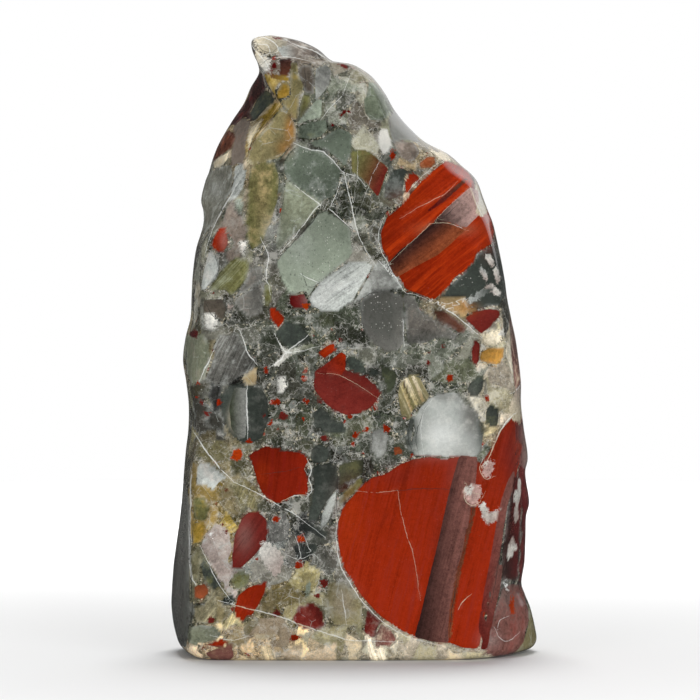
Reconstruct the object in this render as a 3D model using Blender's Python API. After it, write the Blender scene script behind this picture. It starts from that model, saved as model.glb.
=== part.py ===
"""Bloodstone freeform: one polished block of brecciated jasper that stands on its cut base.

The block is a loft. Each section runs from a point of the left outline to a point of the right
outline, and its shape between them comes from the depth of the front and back faces and from
four bevels. Sizes in the tables are in millimetres; the mesh is in metres, +Z up, front at -Y.
"""

import bpy
import bmesh
import numpy as np

MM = 0.001

# Left and right outline seen from the front, base to tip, one pair for each station: (x, height).
LEFT_OUTLINE = (
    (-30.6, 0.0), (-32.6, 0.3), (-34.2, 0.8), (-35.1, 1.9), (-35.7, 3.8), (-36.3, 6.2),
    (-36.7, 9.4), (-36.6, 12.0), (-36.5, 14.4), (-36.2, 18.2), (-35.4, 22.6), (-34.8, 26.6),
    (-34.4, 30.6), (-34.1, 35.8), (-33.6, 40.6), (-33.0, 45.0), (-32.8, 50.0), (-33.2, 54.2),
    (-33.9, 58.6), (-33.4, 63.2), (-32.4, 67.2), (-32.2, 71.2), (-32.0, 75.6), (-31.4, 80.6),
    (-30.0, 85.4), (-29.9, 88.2), (-30.4, 90.6), (-29.6, 94.2), (-28.9, 96.0), (-28.2, 98.6),
    (-27.2, 101.2), (-25.7, 103.8), (-23.8, 106.8), (-21.8, 109.8), (-20.4, 113.0), (-18.8, 115.8),
    (-19.0, 117.8), (-19.6, 119.3), (-20.1, 120.6), (-20.3, 121.7), (-20.0, 122.6), (-18.9, 123.1),
)
RIGHT_OUTLINE = (
    (30.4, 0.0), (32.8, 0.2), (35.2, 0.6), (36.4, 1.4), (36.8, 2.9), (36.3, 5.7),
    (35.5, 8.9), (34.4, 11.7), (33.7, 14.1), (34.3, 18.2), (34.5, 23.5), (34.6, 27.5),
    (35.2, 30.5), (34.4, 36.0), (34.9, 39.4), (34.1, 45.2), (33.6, 50.2), (33.6, 55.0),
    (33.3, 59.0), (32.8, 63.2), (31.9, 67.0), (31.0, 71.2), (30.3, 76.2), (29.5, 81.0),
    (28.4, 85.6), (27.4, 88.2), (26.3, 91.0), (25.2, 94.0), (24.1, 95.6), (22.2, 97.2),
    (19.0, 99.8), (14.3, 102.2), (10.6, 105.6), (8.2, 108.6), (6.5, 111.6), (4.8, 114.0),
    (3.0, 115.8), (-0.2, 117.6), (-4.0, 118.2), (-7.0, 120.6), (-10.2, 122.1), (-13.2, 122.9),
)
TIP = (-16.4, 1.5, 123.4)

# Depth of the front and back faces: (height, front, back).
FACES = (
    (0.0, -20.6, 20.4), (10.0, -21.2, 21.0), (30.0, -21.0, 20.6), (50.0, -20.4, 19.6),
    (70.0, -19.2, 18.2), (85.0, -17.6, 16.0), (97.0, -15.8, 13.4), (108.0, -13.2, 10.4),
    (115.0, -10.8, 8.2), (119.0, -7.6, 6.8), (121.5, -4.2, 5.4), (123.0, -0.8, 3.6),
)

# Bevels along the four long edges: (height, how far in from the outline, share of the depth that
# it takes, how soft its rim is).
FRONT_LEFT = (
    (0.0, 2.6, 0.30, 1.2), (12.0, 3.8, 0.34, 1.4), (22.0, 3.6, 0.30, 1.4), (32.0, 2.6, 0.24, 1.2),
    (42.0, 2.2, 0.22, 1.0), (52.0, 1.6, 0.20, 1.0), (62.0, 2.4, 0.26, 1.2), (72.0, 2.0, 0.24, 1.2),
    (84.0, 2.2, 0.28, 1.0), (92.0, 5.8, 0.38, 0.6), (103.0, 6.8, 0.42, 0.4), (110.8, 7.6, 0.52, 0.2),
    (114.0, 3.8, 0.52, 0.2), (116.6, 0.8, 0.40, 0.2), (123.0, 1.2, 0.36, 0.6),
)
FRONT_RIGHT = (
    (0.0, 9.0, 0.34, 4.0), (6.0, 8.0, 0.34, 5.0), (12.0, 7.4, 0.34, 4.0), (22.0, 5.0, 0.30, 2.4),
    (32.0, 4.2, 0.28, 2.0), (42.0, 3.2, 0.26, 1.6), (52.0, 1.8, 0.22, 1.2), (62.0, 2.4, 0.24, 1.2),
    (72.0, 1.6, 0.22, 1.2), (86.0, 2.6, 0.30, 1.6), (97.0, 2.4, 0.30, 1.4), (108.0, 3.0, 0.36, 1.2),
    (116.0, 2.6, 0.36, 0.8), (123.0, 2.0, 0.36, 0.8),
)
BACK_LEFT = (
    (0.0, 7.0, 0.34, 2.5), (20.0, 9.0, 0.38, 2.0), (45.0, 11.0, 0.42, 2.0), (70.0, 9.0, 0.36, 2.5),
    (90.0, 6.0, 0.36, 2.5), (110.0, 4.0, 0.36, 1.5), (123.0, 2.0, 0.36, 1.0),
)
BACK_RIGHT = (
    (0.0, 9.0, 0.36, 3.5), (20.0, 8.0, 0.36, 2.5), (45.0, 7.0, 0.34, 2.0), (70.0, 10.0, 0.40, 2.0),
    (90.0, 9.0, 0.42, 2.5), (110.0, 5.0, 0.38, 1.5), (123.0, 2.0, 0.36, 1.0),
)

# The ridge that divides the back into two broad facets: (height, share of the width, how proud).
BACK_RIDGE = (
    (0.0, 0.60, 1.4), (35.0, 0.54, 1.8), (70.0, 0.44, 1.8), (100.0, 0.48, 1.2), (123.0, 0.5, 0.3),
)

# The outline's small bends are on a crest that wanders between front and back, and fade out
# within this reach of it. Away from the crest the sides follow the outline's average.
CREST_REACH = 8.0
CREST_WANDER = 4.5
CREST_TURN = 15.0
LEFT_TURN = 0.6
RIGHT_TURN = 2.8
CREST_SINK = 0.5
AVERAGED_STATIONS = (-2.4, -1.6, -0.8, 0.0, 0.8, 1.6, 2.4)
SLIM_WIDTHS = (34.0, 56.0)

FRONT_CROWN = 0.7
FRONT_EDGE_ROUND = 1.8
BACK_EDGE_ROUND = 3.0
CREASE_REACH = 4.0
NARROW_WIDTH = 34.0

# The front's crown is full between two shares of the width, and has a share of its height where
# the crease beside a bevel ends. A bevel's rim draws in by a share of its softness.
CROWN_START = 0.36
CROWN_END = 0.64
CREASE_CROWN = 0.4
RIM_DRAW = 0.5

RIPPLE = 0.22
SIDE_RIPPLE = 0.45

SECTIONS = 64
POINTS_ROUND = 68

# Waves that a hand-held polish leaves: (turns per mm along x, along z, phase).
RIPPLES = ((0.021, 0.013, 0.4), (0.034, -0.021, 2.1), (-0.012, 0.037, 4.0), (0.027, 0.041, 5.2))

STONE_COLOUR = (0.29, 0.27, 0.23, 1.0)
STONE_ROUGHNESS = 0.16


def through(rows, heights):
    """The columns of a table at the given heights: a cubic through the rows, with each row's slope
    taken from its neighbours."""
    table = np.array(rows)
    knots, values = table[:, 0], table[:, 1:]
    slopes = np.gradient(values, knots, axis=0)
    heights = np.clip(heights, knots[0], knots[-1])
    row = np.clip(np.searchsorted(knots, heights, side="right") - 1, 0, len(knots) - 2)
    step = knots[row + 1] - knots[row]
    t = ((heights - knots[row]) / step)[:, None]
    step = step[:, None]
    return (
        (1 + 2 * t) * (1 - t) ** 2 * values[row]
        + t * (1 - t) ** 2 * step * slopes[row]
        + t * t * (3 - 2 * t) * values[row + 1]
        + t * t * (t - 1) * step * slopes[row + 1]
    )


def closed_spline(cage, turns):
    """A uniform cubic B-spline round the closed cage of each section, at the given places."""
    first = np.floor(turns).astype(int)
    t = (turns - first)[None, :, None]
    weights = (
        (1 - t) ** 3 / 6,
        (3 * t**3 - 6 * t**2 + 4) / 6,
        (-3 * t**3 + 3 * t**2 + 3 * t + 1) / 6,
        t**3 / 6,
    )
    count = cage.shape[1]
    return sum(weight * cage[:, (first + i - 1) % count] for i, weight in enumerate(weights))


def edge_round(heights, radius):
    """How far a face draws in near the base, where its lower edge is a quarter circle."""
    down = np.clip(radius - heights, 0.0, radius)
    return radius - np.sqrt(radius**2 - down**2)


def section_cages(width, height):
    """The cage of each section, as (distance from the left outline, depth), round from the front
    left. A bevel's rim has two points: the nearer they are, the crisper the edge."""
    front, back = through(FACES, height).T
    front = front + edge_round(height, FRONT_EDGE_ROUND)
    back = back - edge_round(height, BACK_EDGE_ROUND)
    depth = back - front
    narrow = np.minimum(1.0, width / NARROW_WIDTH)
    crease = CREASE_REACH * narrow
    crown = FRONT_CROWN * narrow
    low_crown = front - CREASE_CROWN * crown
    zero, one = np.zeros_like(width), np.ones_like(width)
    in_fl, share_fl, soft_fl = through(FRONT_LEFT, height).T * (narrow, one, narrow)
    in_fr, share_fr, soft_fr = through(FRONT_RIGHT, height).T * (narrow, one, narrow)
    in_bl, share_bl, soft_bl = through(BACK_LEFT, height).T * (narrow, one, narrow)
    in_br, share_br, soft_br = through(BACK_RIGHT, height).T * (narrow, one, narrow)
    draw_fl, draw_fr, draw_bl, draw_br = (RIM_DRAW * soft for soft in (soft_fl, soft_fr, soft_bl, soft_br))
    ridge, proud = through(BACK_RIDGE, height).T
    brow = back - proud * narrow
    corners = (
        (in_fl - draw_fl, front + draw_fl),
        (in_fl + soft_fl, front),
        (in_fl + soft_fl + crease, low_crown),
        (CROWN_START * width, front - crown),
        (CROWN_END * width, front - crown),
        (width - in_fr - soft_fr - crease, low_crown),
        (width - in_fr - soft_fr, front),
        (width - in_fr + draw_fr, front + draw_fr),
        (width, front + share_fr * depth),
        (width, back - share_br * depth),
        (width - in_br + draw_br, brow - draw_br),
        (width - in_br - soft_br, brow),
        (ridge * width, back),
        (ridge * width, back),
        (in_bl + soft_bl, brow),
        (in_bl - draw_bl, brow - draw_bl),
        (zero, back - share_bl * depth),
        (zero, front + share_fl * depth),
    )
    return np.stack([np.stack(corner, axis=1) for corner in corners], axis=1)


def ripple(across, z):
    """The polish's low waves, from -1 to 1."""
    return sum(np.sin(2 * np.pi * (a * across + b * z) + phase) for a, b, phase in RIPPLES) / len(RIPPLES)


def smoothstep(low, high, value):
    t = np.clip((value - low) / (high - low), 0.0, 1.0)
    return t * t * (3 - 2 * t)


def outline_at(rows, place):
    """The outline at each section, and the average of it over the neighbouring stations."""
    stations = np.arange(len(rows), dtype=float)[:, None]
    table = np.hstack([stations, np.array(rows)])
    average = sum(through(table, place + shift) for shift in AVERAGED_STATIONS) / len(AVERAGED_STATIONS)
    return through(table, place), average


def off_crest(depth, height, width, turn):
    """0 on the crest of a side and 1 well away from it; 0 all over where the block is slim."""
    crest = CREST_WANDER * np.sin(height / CREST_TURN + turn)
    away = 1.0 - np.exp(-(((depth - crest) / CREST_REACH) ** 2))
    return away * smoothstep(*SLIM_WIDTHS, width)


def stone_rings(sections, points_round):
    """Rings of points from the base up, in mm, (section, point, xyz), and the tip. Each section's
    cage is splined, then spread so that it touches the left and the right outline exactly. The
    whole is centred over the origin."""
    place = np.linspace(0.0, len(LEFT_OUTLINE) - 1.0, sections)
    left, left_average = outline_at(LEFT_OUTLINE, place)
    right, right_average = outline_at(RIGHT_OUTLINE, place)
    width = right[:, 0] - left[:, 0]
    cages = section_cages(width, 0.5 * (left[:, 1] + right[:, 1]))
    turns = np.arange(points_round) * cages.shape[1] / points_round
    flat = closed_spline(cages, turns)
    across, depth = flat[..., 0], flat[..., 1]
    low = across.min(axis=1, keepdims=True)
    high = across.max(axis=1, keepdims=True)
    share = (across - low) / (high - low)
    z = left[:, 1:] + share * (right[:, 1:] - left[:, 1:])
    width = width[:, None]
    waves = SIDE_RIPPLE * ripple(depth, z)
    left_sink = off_crest(depth, z, width, LEFT_TURN)
    right_sink = off_crest(depth, z, width, RIGHT_TURN)
    left_x = left[:, :1] + left_sink * (np.maximum(left_average - left, 0.0)[:, :1] + CREST_SINK + waves)
    right_x = right[:, :1] - right_sink * (np.maximum(right - right_average, 0.0)[:, :1] + CREST_SINK + waves)
    x = left_x + share * (right_x - left_x)
    rings = np.stack([x, depth + RIPPLE * ripple(x, z), z], axis=2)
    middle = 0.5 * (rings.min(axis=(0, 1)) + rings.max(axis=(0, 1))) * (1.0, 1.0, 0.0)
    return rings - middle, np.array(TIP) - middle


def stone_mesh():
    """The closed body: rings joined by quads, the flat base as one face, the tip as a fan."""
    rings, tip_point = stone_rings(SECTIONS, POINTS_ROUND)
    body = bmesh.new()
    rows = [[body.verts.new(point) for point in ring * MM] for ring in rings]
    tip = body.verts.new(tip_point * MM)
    for lower, upper in zip(rows, rows[1:]):
        for i in range(POINTS_ROUND):
            j = (i + 1) % POINTS_ROUND
            body.faces.new((lower[i], lower[j], upper[j], upper[i]))
    for i in range(POINTS_ROUND):
        body.faces.new((rows[-1][i], rows[-1][(i + 1) % POINTS_ROUND], tip))
    body.faces.new(rows[0][::-1])
    bmesh.ops.triangulate(body, faces=body.faces)
    bmesh.ops.recalc_face_normals(body, faces=body.faces)
    mesh = bpy.data.meshes.new("stone")
    body.to_mesh(mesh)
    body.free()
    mesh.shade_smooth()
    return mesh


def polished_stone():
    """A glossy mid grey-green, the average of the block's reds, greens and greys."""
    material = bpy.data.materials.new("polished_stone")
    material.use_nodes = True
    shader = material.node_tree.nodes["Principled BSDF"]
    shader.inputs["Base Color"].default_value = STONE_COLOUR
    shader.inputs["Roughness"].default_value = STONE_ROUGHNESS
    shader.inputs["Metallic"].default_value = 0.0
    return material


def build():
    for old in list(bpy.data.objects):
        bpy.data.objects.remove(old, do_unlink=True)
    collection = bpy.data.collections.new("bloodstone")
    bpy.context.scene.collection.children.link(collection)
    stone = bpy.data.objects.new("stone", stone_mesh())
    stone.data.materials.append(polished_stone())
    collection.objects.link(stone)


build()
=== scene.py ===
"""Bloodstone freeform: the polished skin of one block of brecciated jasper, on a pale floor.

The skin is a loft over a fine grid, worked out from the same sizes as the solid that it stands for.
Fragments, veins and grounds are drawn on a flat sheet that stands at the middle of the block and is
seen from the camera. Each grid point stores how far it is from the nearest fragment's edge, and the
material turns those distances into crisp edges and adds the grain.
"""

import math

import bpy
import numpy as np
from bpy.props import FloatProperty, FloatVectorProperty, IntProperty, PointerProperty
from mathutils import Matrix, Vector


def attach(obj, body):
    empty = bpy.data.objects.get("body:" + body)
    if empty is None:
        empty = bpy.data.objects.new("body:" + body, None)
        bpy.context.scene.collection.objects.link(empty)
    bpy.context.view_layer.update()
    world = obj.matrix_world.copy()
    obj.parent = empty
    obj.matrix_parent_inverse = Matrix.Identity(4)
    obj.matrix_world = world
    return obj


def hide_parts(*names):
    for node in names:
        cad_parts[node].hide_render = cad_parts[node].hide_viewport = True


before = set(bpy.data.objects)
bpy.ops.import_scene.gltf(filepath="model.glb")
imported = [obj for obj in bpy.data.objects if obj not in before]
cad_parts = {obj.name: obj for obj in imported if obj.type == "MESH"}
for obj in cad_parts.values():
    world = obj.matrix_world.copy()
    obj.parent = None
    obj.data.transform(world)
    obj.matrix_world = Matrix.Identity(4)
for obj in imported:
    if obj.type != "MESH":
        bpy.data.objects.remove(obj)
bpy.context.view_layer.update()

bl_info = {
    "name": "Bloodstone Freeform",
    "version": (1, 0, 0),
    "blender": (4, 5, 0),
    "location": "View3D > Sidebar > Bloodstone",
    "description": "Makes a polished block of brecciated jasper with drawn fragments and veins",
    "category": "Add Mesh",
}

MM = 0.001

# Left and right outline seen from the front, base to tip, one pair for each station: (x, height).
LEFT_OUTLINE = (
    (-30.6, 0.0), (-32.6, 0.3), (-34.2, 0.8), (-35.1, 1.9), (-35.7, 3.8), (-36.3, 6.2),
    (-36.7, 9.4), (-36.6, 12.0), (-36.5, 14.4), (-36.2, 18.2), (-35.4, 22.6), (-34.8, 26.6),
    (-34.4, 30.6), (-34.1, 35.8), (-33.6, 40.6), (-33.0, 45.0), (-32.8, 50.0), (-33.2, 54.2),
    (-33.9, 58.6), (-33.4, 63.2), (-32.4, 67.2), (-32.2, 71.2), (-32.0, 75.6), (-31.4, 80.6),
    (-30.0, 85.4), (-29.9, 88.2), (-30.4, 90.6), (-29.6, 94.2), (-28.9, 96.0), (-28.2, 98.6),
    (-27.2, 101.2), (-25.7, 103.8), (-23.8, 106.8), (-21.8, 109.8), (-20.4, 113.0), (-18.8, 115.8),
    (-19.0, 117.8), (-19.6, 119.3), (-20.1, 120.6), (-20.3, 121.7), (-20.0, 122.6), (-18.9, 123.1),
)
RIGHT_OUTLINE = (
    (30.4, 0.0), (32.8, 0.2), (35.2, 0.6), (36.4, 1.4), (36.8, 2.9), (36.3, 5.7),
    (35.5, 8.9), (34.4, 11.7), (33.7, 14.1), (34.3, 18.2), (34.5, 23.5), (34.6, 27.5),
    (35.2, 30.5), (34.4, 36.0), (34.9, 39.4), (34.1, 45.2), (33.6, 50.2), (33.6, 55.0),
    (33.3, 59.0), (32.8, 63.2), (31.9, 67.0), (31.0, 71.2), (30.3, 76.2), (29.5, 81.0),
    (28.4, 85.6), (27.4, 88.2), (26.3, 91.0), (25.2, 94.0), (24.1, 95.6), (22.2, 97.2),
    (19.0, 99.8), (14.3, 102.2), (10.6, 105.6), (8.2, 108.6), (6.5, 111.6), (4.8, 114.0),
    (3.0, 115.8), (-0.2, 117.6), (-4.0, 118.2), (-7.0, 120.6), (-10.2, 122.1), (-13.2, 122.9),
)
TIP = (-16.4, 1.5, 123.4)

# Depth of the front and back faces: (height, front, back).
FACES = (
    (0.0, -20.6, 20.4), (10.0, -21.2, 21.0), (30.0, -21.0, 20.6), (50.0, -20.4, 19.6),
    (70.0, -19.2, 18.2), (85.0, -17.6, 16.0), (97.0, -15.8, 13.4), (108.0, -13.2, 10.4),
    (115.0, -10.8, 8.2), (119.0, -7.6, 6.8), (121.5, -4.2, 5.4), (123.0, -0.8, 3.6),
)

# Bevels along the four long edges: (height, how far in from the outline, share of the depth that
# it takes, how soft its rim is).
FRONT_LEFT = (
    (0.0, 2.6, 0.30, 1.2), (12.0, 3.8, 0.34, 1.4), (22.0, 3.6, 0.30, 1.4), (32.0, 2.6, 0.24, 1.2),
    (42.0, 2.2, 0.22, 1.0), (52.0, 1.6, 0.20, 1.0), (62.0, 2.4, 0.26, 1.2), (72.0, 2.0, 0.24, 1.2),
    (84.0, 2.2, 0.28, 1.0), (92.0, 5.8, 0.38, 0.6), (103.0, 6.8, 0.42, 0.4), (110.8, 7.6, 0.52, 0.2),
    (114.0, 3.8, 0.52, 0.2), (116.6, 0.8, 0.40, 0.2), (123.0, 1.2, 0.36, 0.6),
)
FRONT_RIGHT = (
    (0.0, 9.0, 0.34, 4.0), (6.0, 8.0, 0.34, 5.0), (12.0, 7.4, 0.34, 4.0), (22.0, 5.0, 0.30, 2.4),
    (32.0, 4.2, 0.28, 2.0), (42.0, 3.2, 0.26, 1.6), (52.0, 1.8, 0.22, 1.2), (62.0, 2.4, 0.24, 1.2),
    (72.0, 1.6, 0.22, 1.2), (86.0, 2.6, 0.30, 1.6), (97.0, 2.4, 0.30, 1.4), (108.0, 3.0, 0.36, 1.2),
    (116.0, 2.6, 0.36, 0.8), (123.0, 2.0, 0.36, 0.8),
)
BACK_LEFT = (
    (0.0, 7.0, 0.34, 2.5), (20.0, 9.0, 0.38, 2.0), (45.0, 11.0, 0.42, 2.0), (70.0, 9.0, 0.36, 2.5),
    (90.0, 6.0, 0.36, 2.5), (110.0, 4.0, 0.36, 1.5), (123.0, 2.0, 0.36, 1.0),
)
BACK_RIGHT = (
    (0.0, 9.0, 0.36, 3.5), (20.0, 8.0, 0.36, 2.5), (45.0, 7.0, 0.34, 2.0), (70.0, 10.0, 0.40, 2.0),
    (90.0, 9.0, 0.42, 2.5), (110.0, 5.0, 0.38, 1.5), (123.0, 2.0, 0.36, 1.0),
)

# The ridge that divides the back into two broad facets: (height, share of the width, how proud).
BACK_RIDGE = (
    (0.0, 0.60, 1.4), (35.0, 0.54, 1.8), (70.0, 0.44, 1.8), (100.0, 0.48, 1.2), (123.0, 0.5, 0.3),
)

# The crest of each side, in mm: its reach, how far and how fast it wanders up the block, where the
# wander starts, how far the rest sinks, the stations whose mean that follows, and the widths
# between which all this sets in.
CREST_REACH = 8.0
CREST_WANDER = 4.5
CREST_TURN = 15.0
LEFT_TURN = 0.6
RIGHT_TURN = 2.8
CREST_SINK = 0.5
AVERAGED_STATIONS = (-2.4, -1.6, -0.8, 0.0, 0.8, 1.6, 2.4)
SLIM_WIDTHS = (34.0, 56.0)

# The broad faces, in mm: the front's crown, the rounding of the lower edges, the crease beside a
# bevel, and the width below which crown, crease and bevels shrink.
FRONT_CROWN = 0.7
FRONT_EDGE_ROUND = 1.8
BACK_EDGE_ROUND = 3.0
CREASE_REACH = 4.0
NARROW_WIDTH = 34.0

# The front's crown is full between two shares of the width, and has a share of its height where
# the crease beside a bevel ends. A bevel's rim draws in by a share of its softness.
CROWN_START = 0.36
CROWN_END = 0.64
CREASE_CROWN = 0.4
RIM_DRAW = 0.5

# The cage round a section: its points, and those between which the back lies. The grid is
# FRONT_DENSITY times closer on the rest. The fine scales measure lengths, and the base's rings
# crowd towards its rim by a power.
CAGE_POINTS = 18
BACK_POINTS = (9.0, 16.0)
FRONT_DENSITY = 2.7
FINE_STATIONS = 2000
FINE_TURNS = 3601
CAP_CROWDING = 0.8

# The polish's low waves: their height on the faces and the sides, in mm, then waves per mm across
# and up, and the start of each.
RIPPLE = 0.22
SIDE_RIPPLE = 0.45
RIPPLES = ((0.021, 0.013, 0.4), (0.034, -0.021, 2.1), (-0.012, 0.037, 4.0), (0.027, 0.041, 5.2))

# The camera, in mm, and the drawing sheet: one unit is SHEET_UNIT mm, and the middle is at
# (SHEET_MIDDLE, SHEET_MIDDLE).
CAMERA_RISE = 3.0
CAMERA_DISTANCE = 1600.0
CAMERA_TARGET = (-0.78, 0.4, 60.5)
SHEET_UNIT = 0.2
SHEET_MIDDLE = 350.0

# The hidden faces: the y of the normals between which a face passes out of sight, and how far the
# drawing strays there, between which depths and over what wavelength, in mm.
HIDDEN_FACING = (-0.14, 0.12)
STRAY, STRAY_DEPTHS, STRAY_WAVE = 3.0, (2.0, 12.0), 22.0

# Drawn fragments: share of a side that a cut corner takes, how deep they reach in mm, how their
# bands lean into the depth, and the depths and rates at which outlines taper off.
CORNER_CUT = 0.08
DEPTH_REACH = (7.0, 24.0)
BAND_LEAN = (-0.5, 0.5)
ACROSS_LEAN = 0.25
TAPER_DEPTH, SPECK_TAPER_DEPTH = 6.0, 4.0
TAPER, OVERLAY_TAPER = 0.3, 0.25

# Farther than any edge or line matters, in mm, and how the strip of ground round a fragment varies:
# mean, swing and least share, and wavelength in mm.
FAR = 50.0
SLACK, SLACK_WAVE = (0.55, 1.2, 0.08), 5.0

# Scattered fragments: places tried, the powers that spread their sizes, how far their planes stand
# from the middle, and how square these are to the skin.
TRIES = 9000
SIZE_SPREAD = (1.1, 2.6)
PLANE_REACH = (0.55, 1.15)
SQUARE_SHARE = 0.80

# On the hidden faces: sizes and strip of ground in mm, share of two sizes that keeps them apart,
# depths in mm where they start and end, number of planes, and lightness.
HIDDEN_SIZES, HIDDEN_GAP = (2.6, 13.0), 1.1
HIDDEN_SPREAD = 0.80
HIDDEN_START, HIDDEN_END = 3.0, 3.5
HIDDEN_PLANES = (7, 10)
HIDDEN_LIGHT = (0.75, 1.15)

# Small shards that fill the ground, in the same way: lightness against the ground, and of the
# second colour against the main one, and each look's share.
SHARD_SIZES, SHARD_GAPS = (1.6, 5.5), (0.15, 0.4, 0.8)
SHARD_SPREAD = 0.66
SHARD_PLANES = (5, 8)
SHARD_LIGHTS, SHARD_SECONDS = (0.42, 0.6, 0.8, 1.0, 1.25, 1.5), (0.5, 1.6, 2.1)
SHARD_TINTS = ("slate_green", "olive", "rose_grey", "grey", "mist", "tan")
SHARD_TINT_SHARE = 0.22
SHARD_LOOKS = {"glassy": 0.36, "cloudy": 0.3, "feather": 0.14, "slate": 0.14, "speckled": 0.06}

# How much rougher the sawn base is, the least channel of a pale speck's colour, how light red
# specks are, and how ragged pale and red ones are.
SAWN_DULLNESS = 0.35
PALE_SPECK = 0.30
RED_SPECK_LIGHT = 0.82
SPECK_RAGGED = (2.2, 1.8)

# Veins and cracks, in mm: the depth where drawn ones end, and for planes on the hidden faces their
# wander, its wavelength, how far they run, and their half widths.
LINE_DEPTH = 7.0
PLANE_WANDER, PLANE_WAVE = 3.2, 30.0
PLANE_RUN = (18.0, 50.0)
PLANE_HALF_WIDTH = (0.06, 0.18)

# The hidden ground: the wavelength of its wander in mm, and how sharply tones part.
GROUND_WAVE = 34.0
TONE_SPREAD = 0.14

# How fine each pattern in the stone is, in features per mm.
GRIT, GRAIN, CLOUD, BROAD = 5.0, 1.7, 0.38, 0.12
FACET, FLECK, CRYSTAL = 1.5, 2.3, 3.0
PLATE, BIT, RED_CRUMB = 0.23, 0.55, 0.62
HOLLOW, WISP, THREAD, FINE_THREAD = 0.8, 0.9, 0.30, 1.2

# The stage, in metres: lights (name, place, size, watts, whether the stone mirrors it), the point
# they face, and the floor's shade, its painted glow near and far (dim near the stone, which paints a
# shadow round it), where that sets in, and its grid.
LIGHTS = (
    ("key", (0.65, -1.30, 0.42), 0.80, 10.5, False),
    ("fill", (-0.80, -1.25, 0.34), 0.60, 5.2, False),
    ("top", (0.0, 0.40, 1.40), 0.60, 14.5, False),
    ("back", (0.30, 1.30, 0.80), 1.40, 5.0, True),
)
LIGHT_AIM = (0.0, 0.0, 0.06)
FLOOR_SHADE = 0.80
FLOOR_PAINTED_GLOW = (0.02, 0.42)
PAINTED_GLOW_REACH = (0.03, 0.34)
FLOOR_INNER = 0.1
FLOOR_SPOKES = 96
FLOOR_RINGS = 5

# How a kind of fragment looks: bands, clouds, flecks, depth of tone, ragged edge in mm, pale rim,
# the strip of ground round it in mm, and how much it lightens along its edge.
LOOKS = {
    "jasper": (0.80, 0.20, 0.03, 0.26, 0.10, 0.85, 1.00, 0.00),
    "milky": (0.05, 0.35, 0.00, 0.16, 0.03, 0.30, 0.30, 0.00),
    "smoky": (0.10, 0.50, 0.00, 0.32, 0.03, 0.50, 0.30, 0.00),
    "plain": (0.35, 0.45, 0.04, 0.30, 0.20, 0.70, 0.80, 0.00),
    "chert": (0.45, 0.45, 0.10, 0.28, 0.12, 0.50, 0.50, 0.10),
    "cloudy": (0.15, 0.75, 0.05, 0.40, 0.07, 0.50, 0.45, 0.15),
    "glassy": (0.12, 0.55, 0.02, 0.38, 0.04, 0.60, 0.30, 0.30),
    "feather": (0.85, 0.45, 0.05, 0.48, 0.14, 0.40, 0.30, 0.15),
    "speckled": (0.05, 0.45, 0.80, 0.26, 0.08, 0.60, 0.35, 0.20),
    "slate": (0.30, 0.60, 0.08, 0.38, 0.08, 0.60, 0.50, 0.10),
    "quartz": (0.12, 0.60, 0.20, 0.42, 1.10, 0.20, 0.10, 0.00),
}

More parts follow.
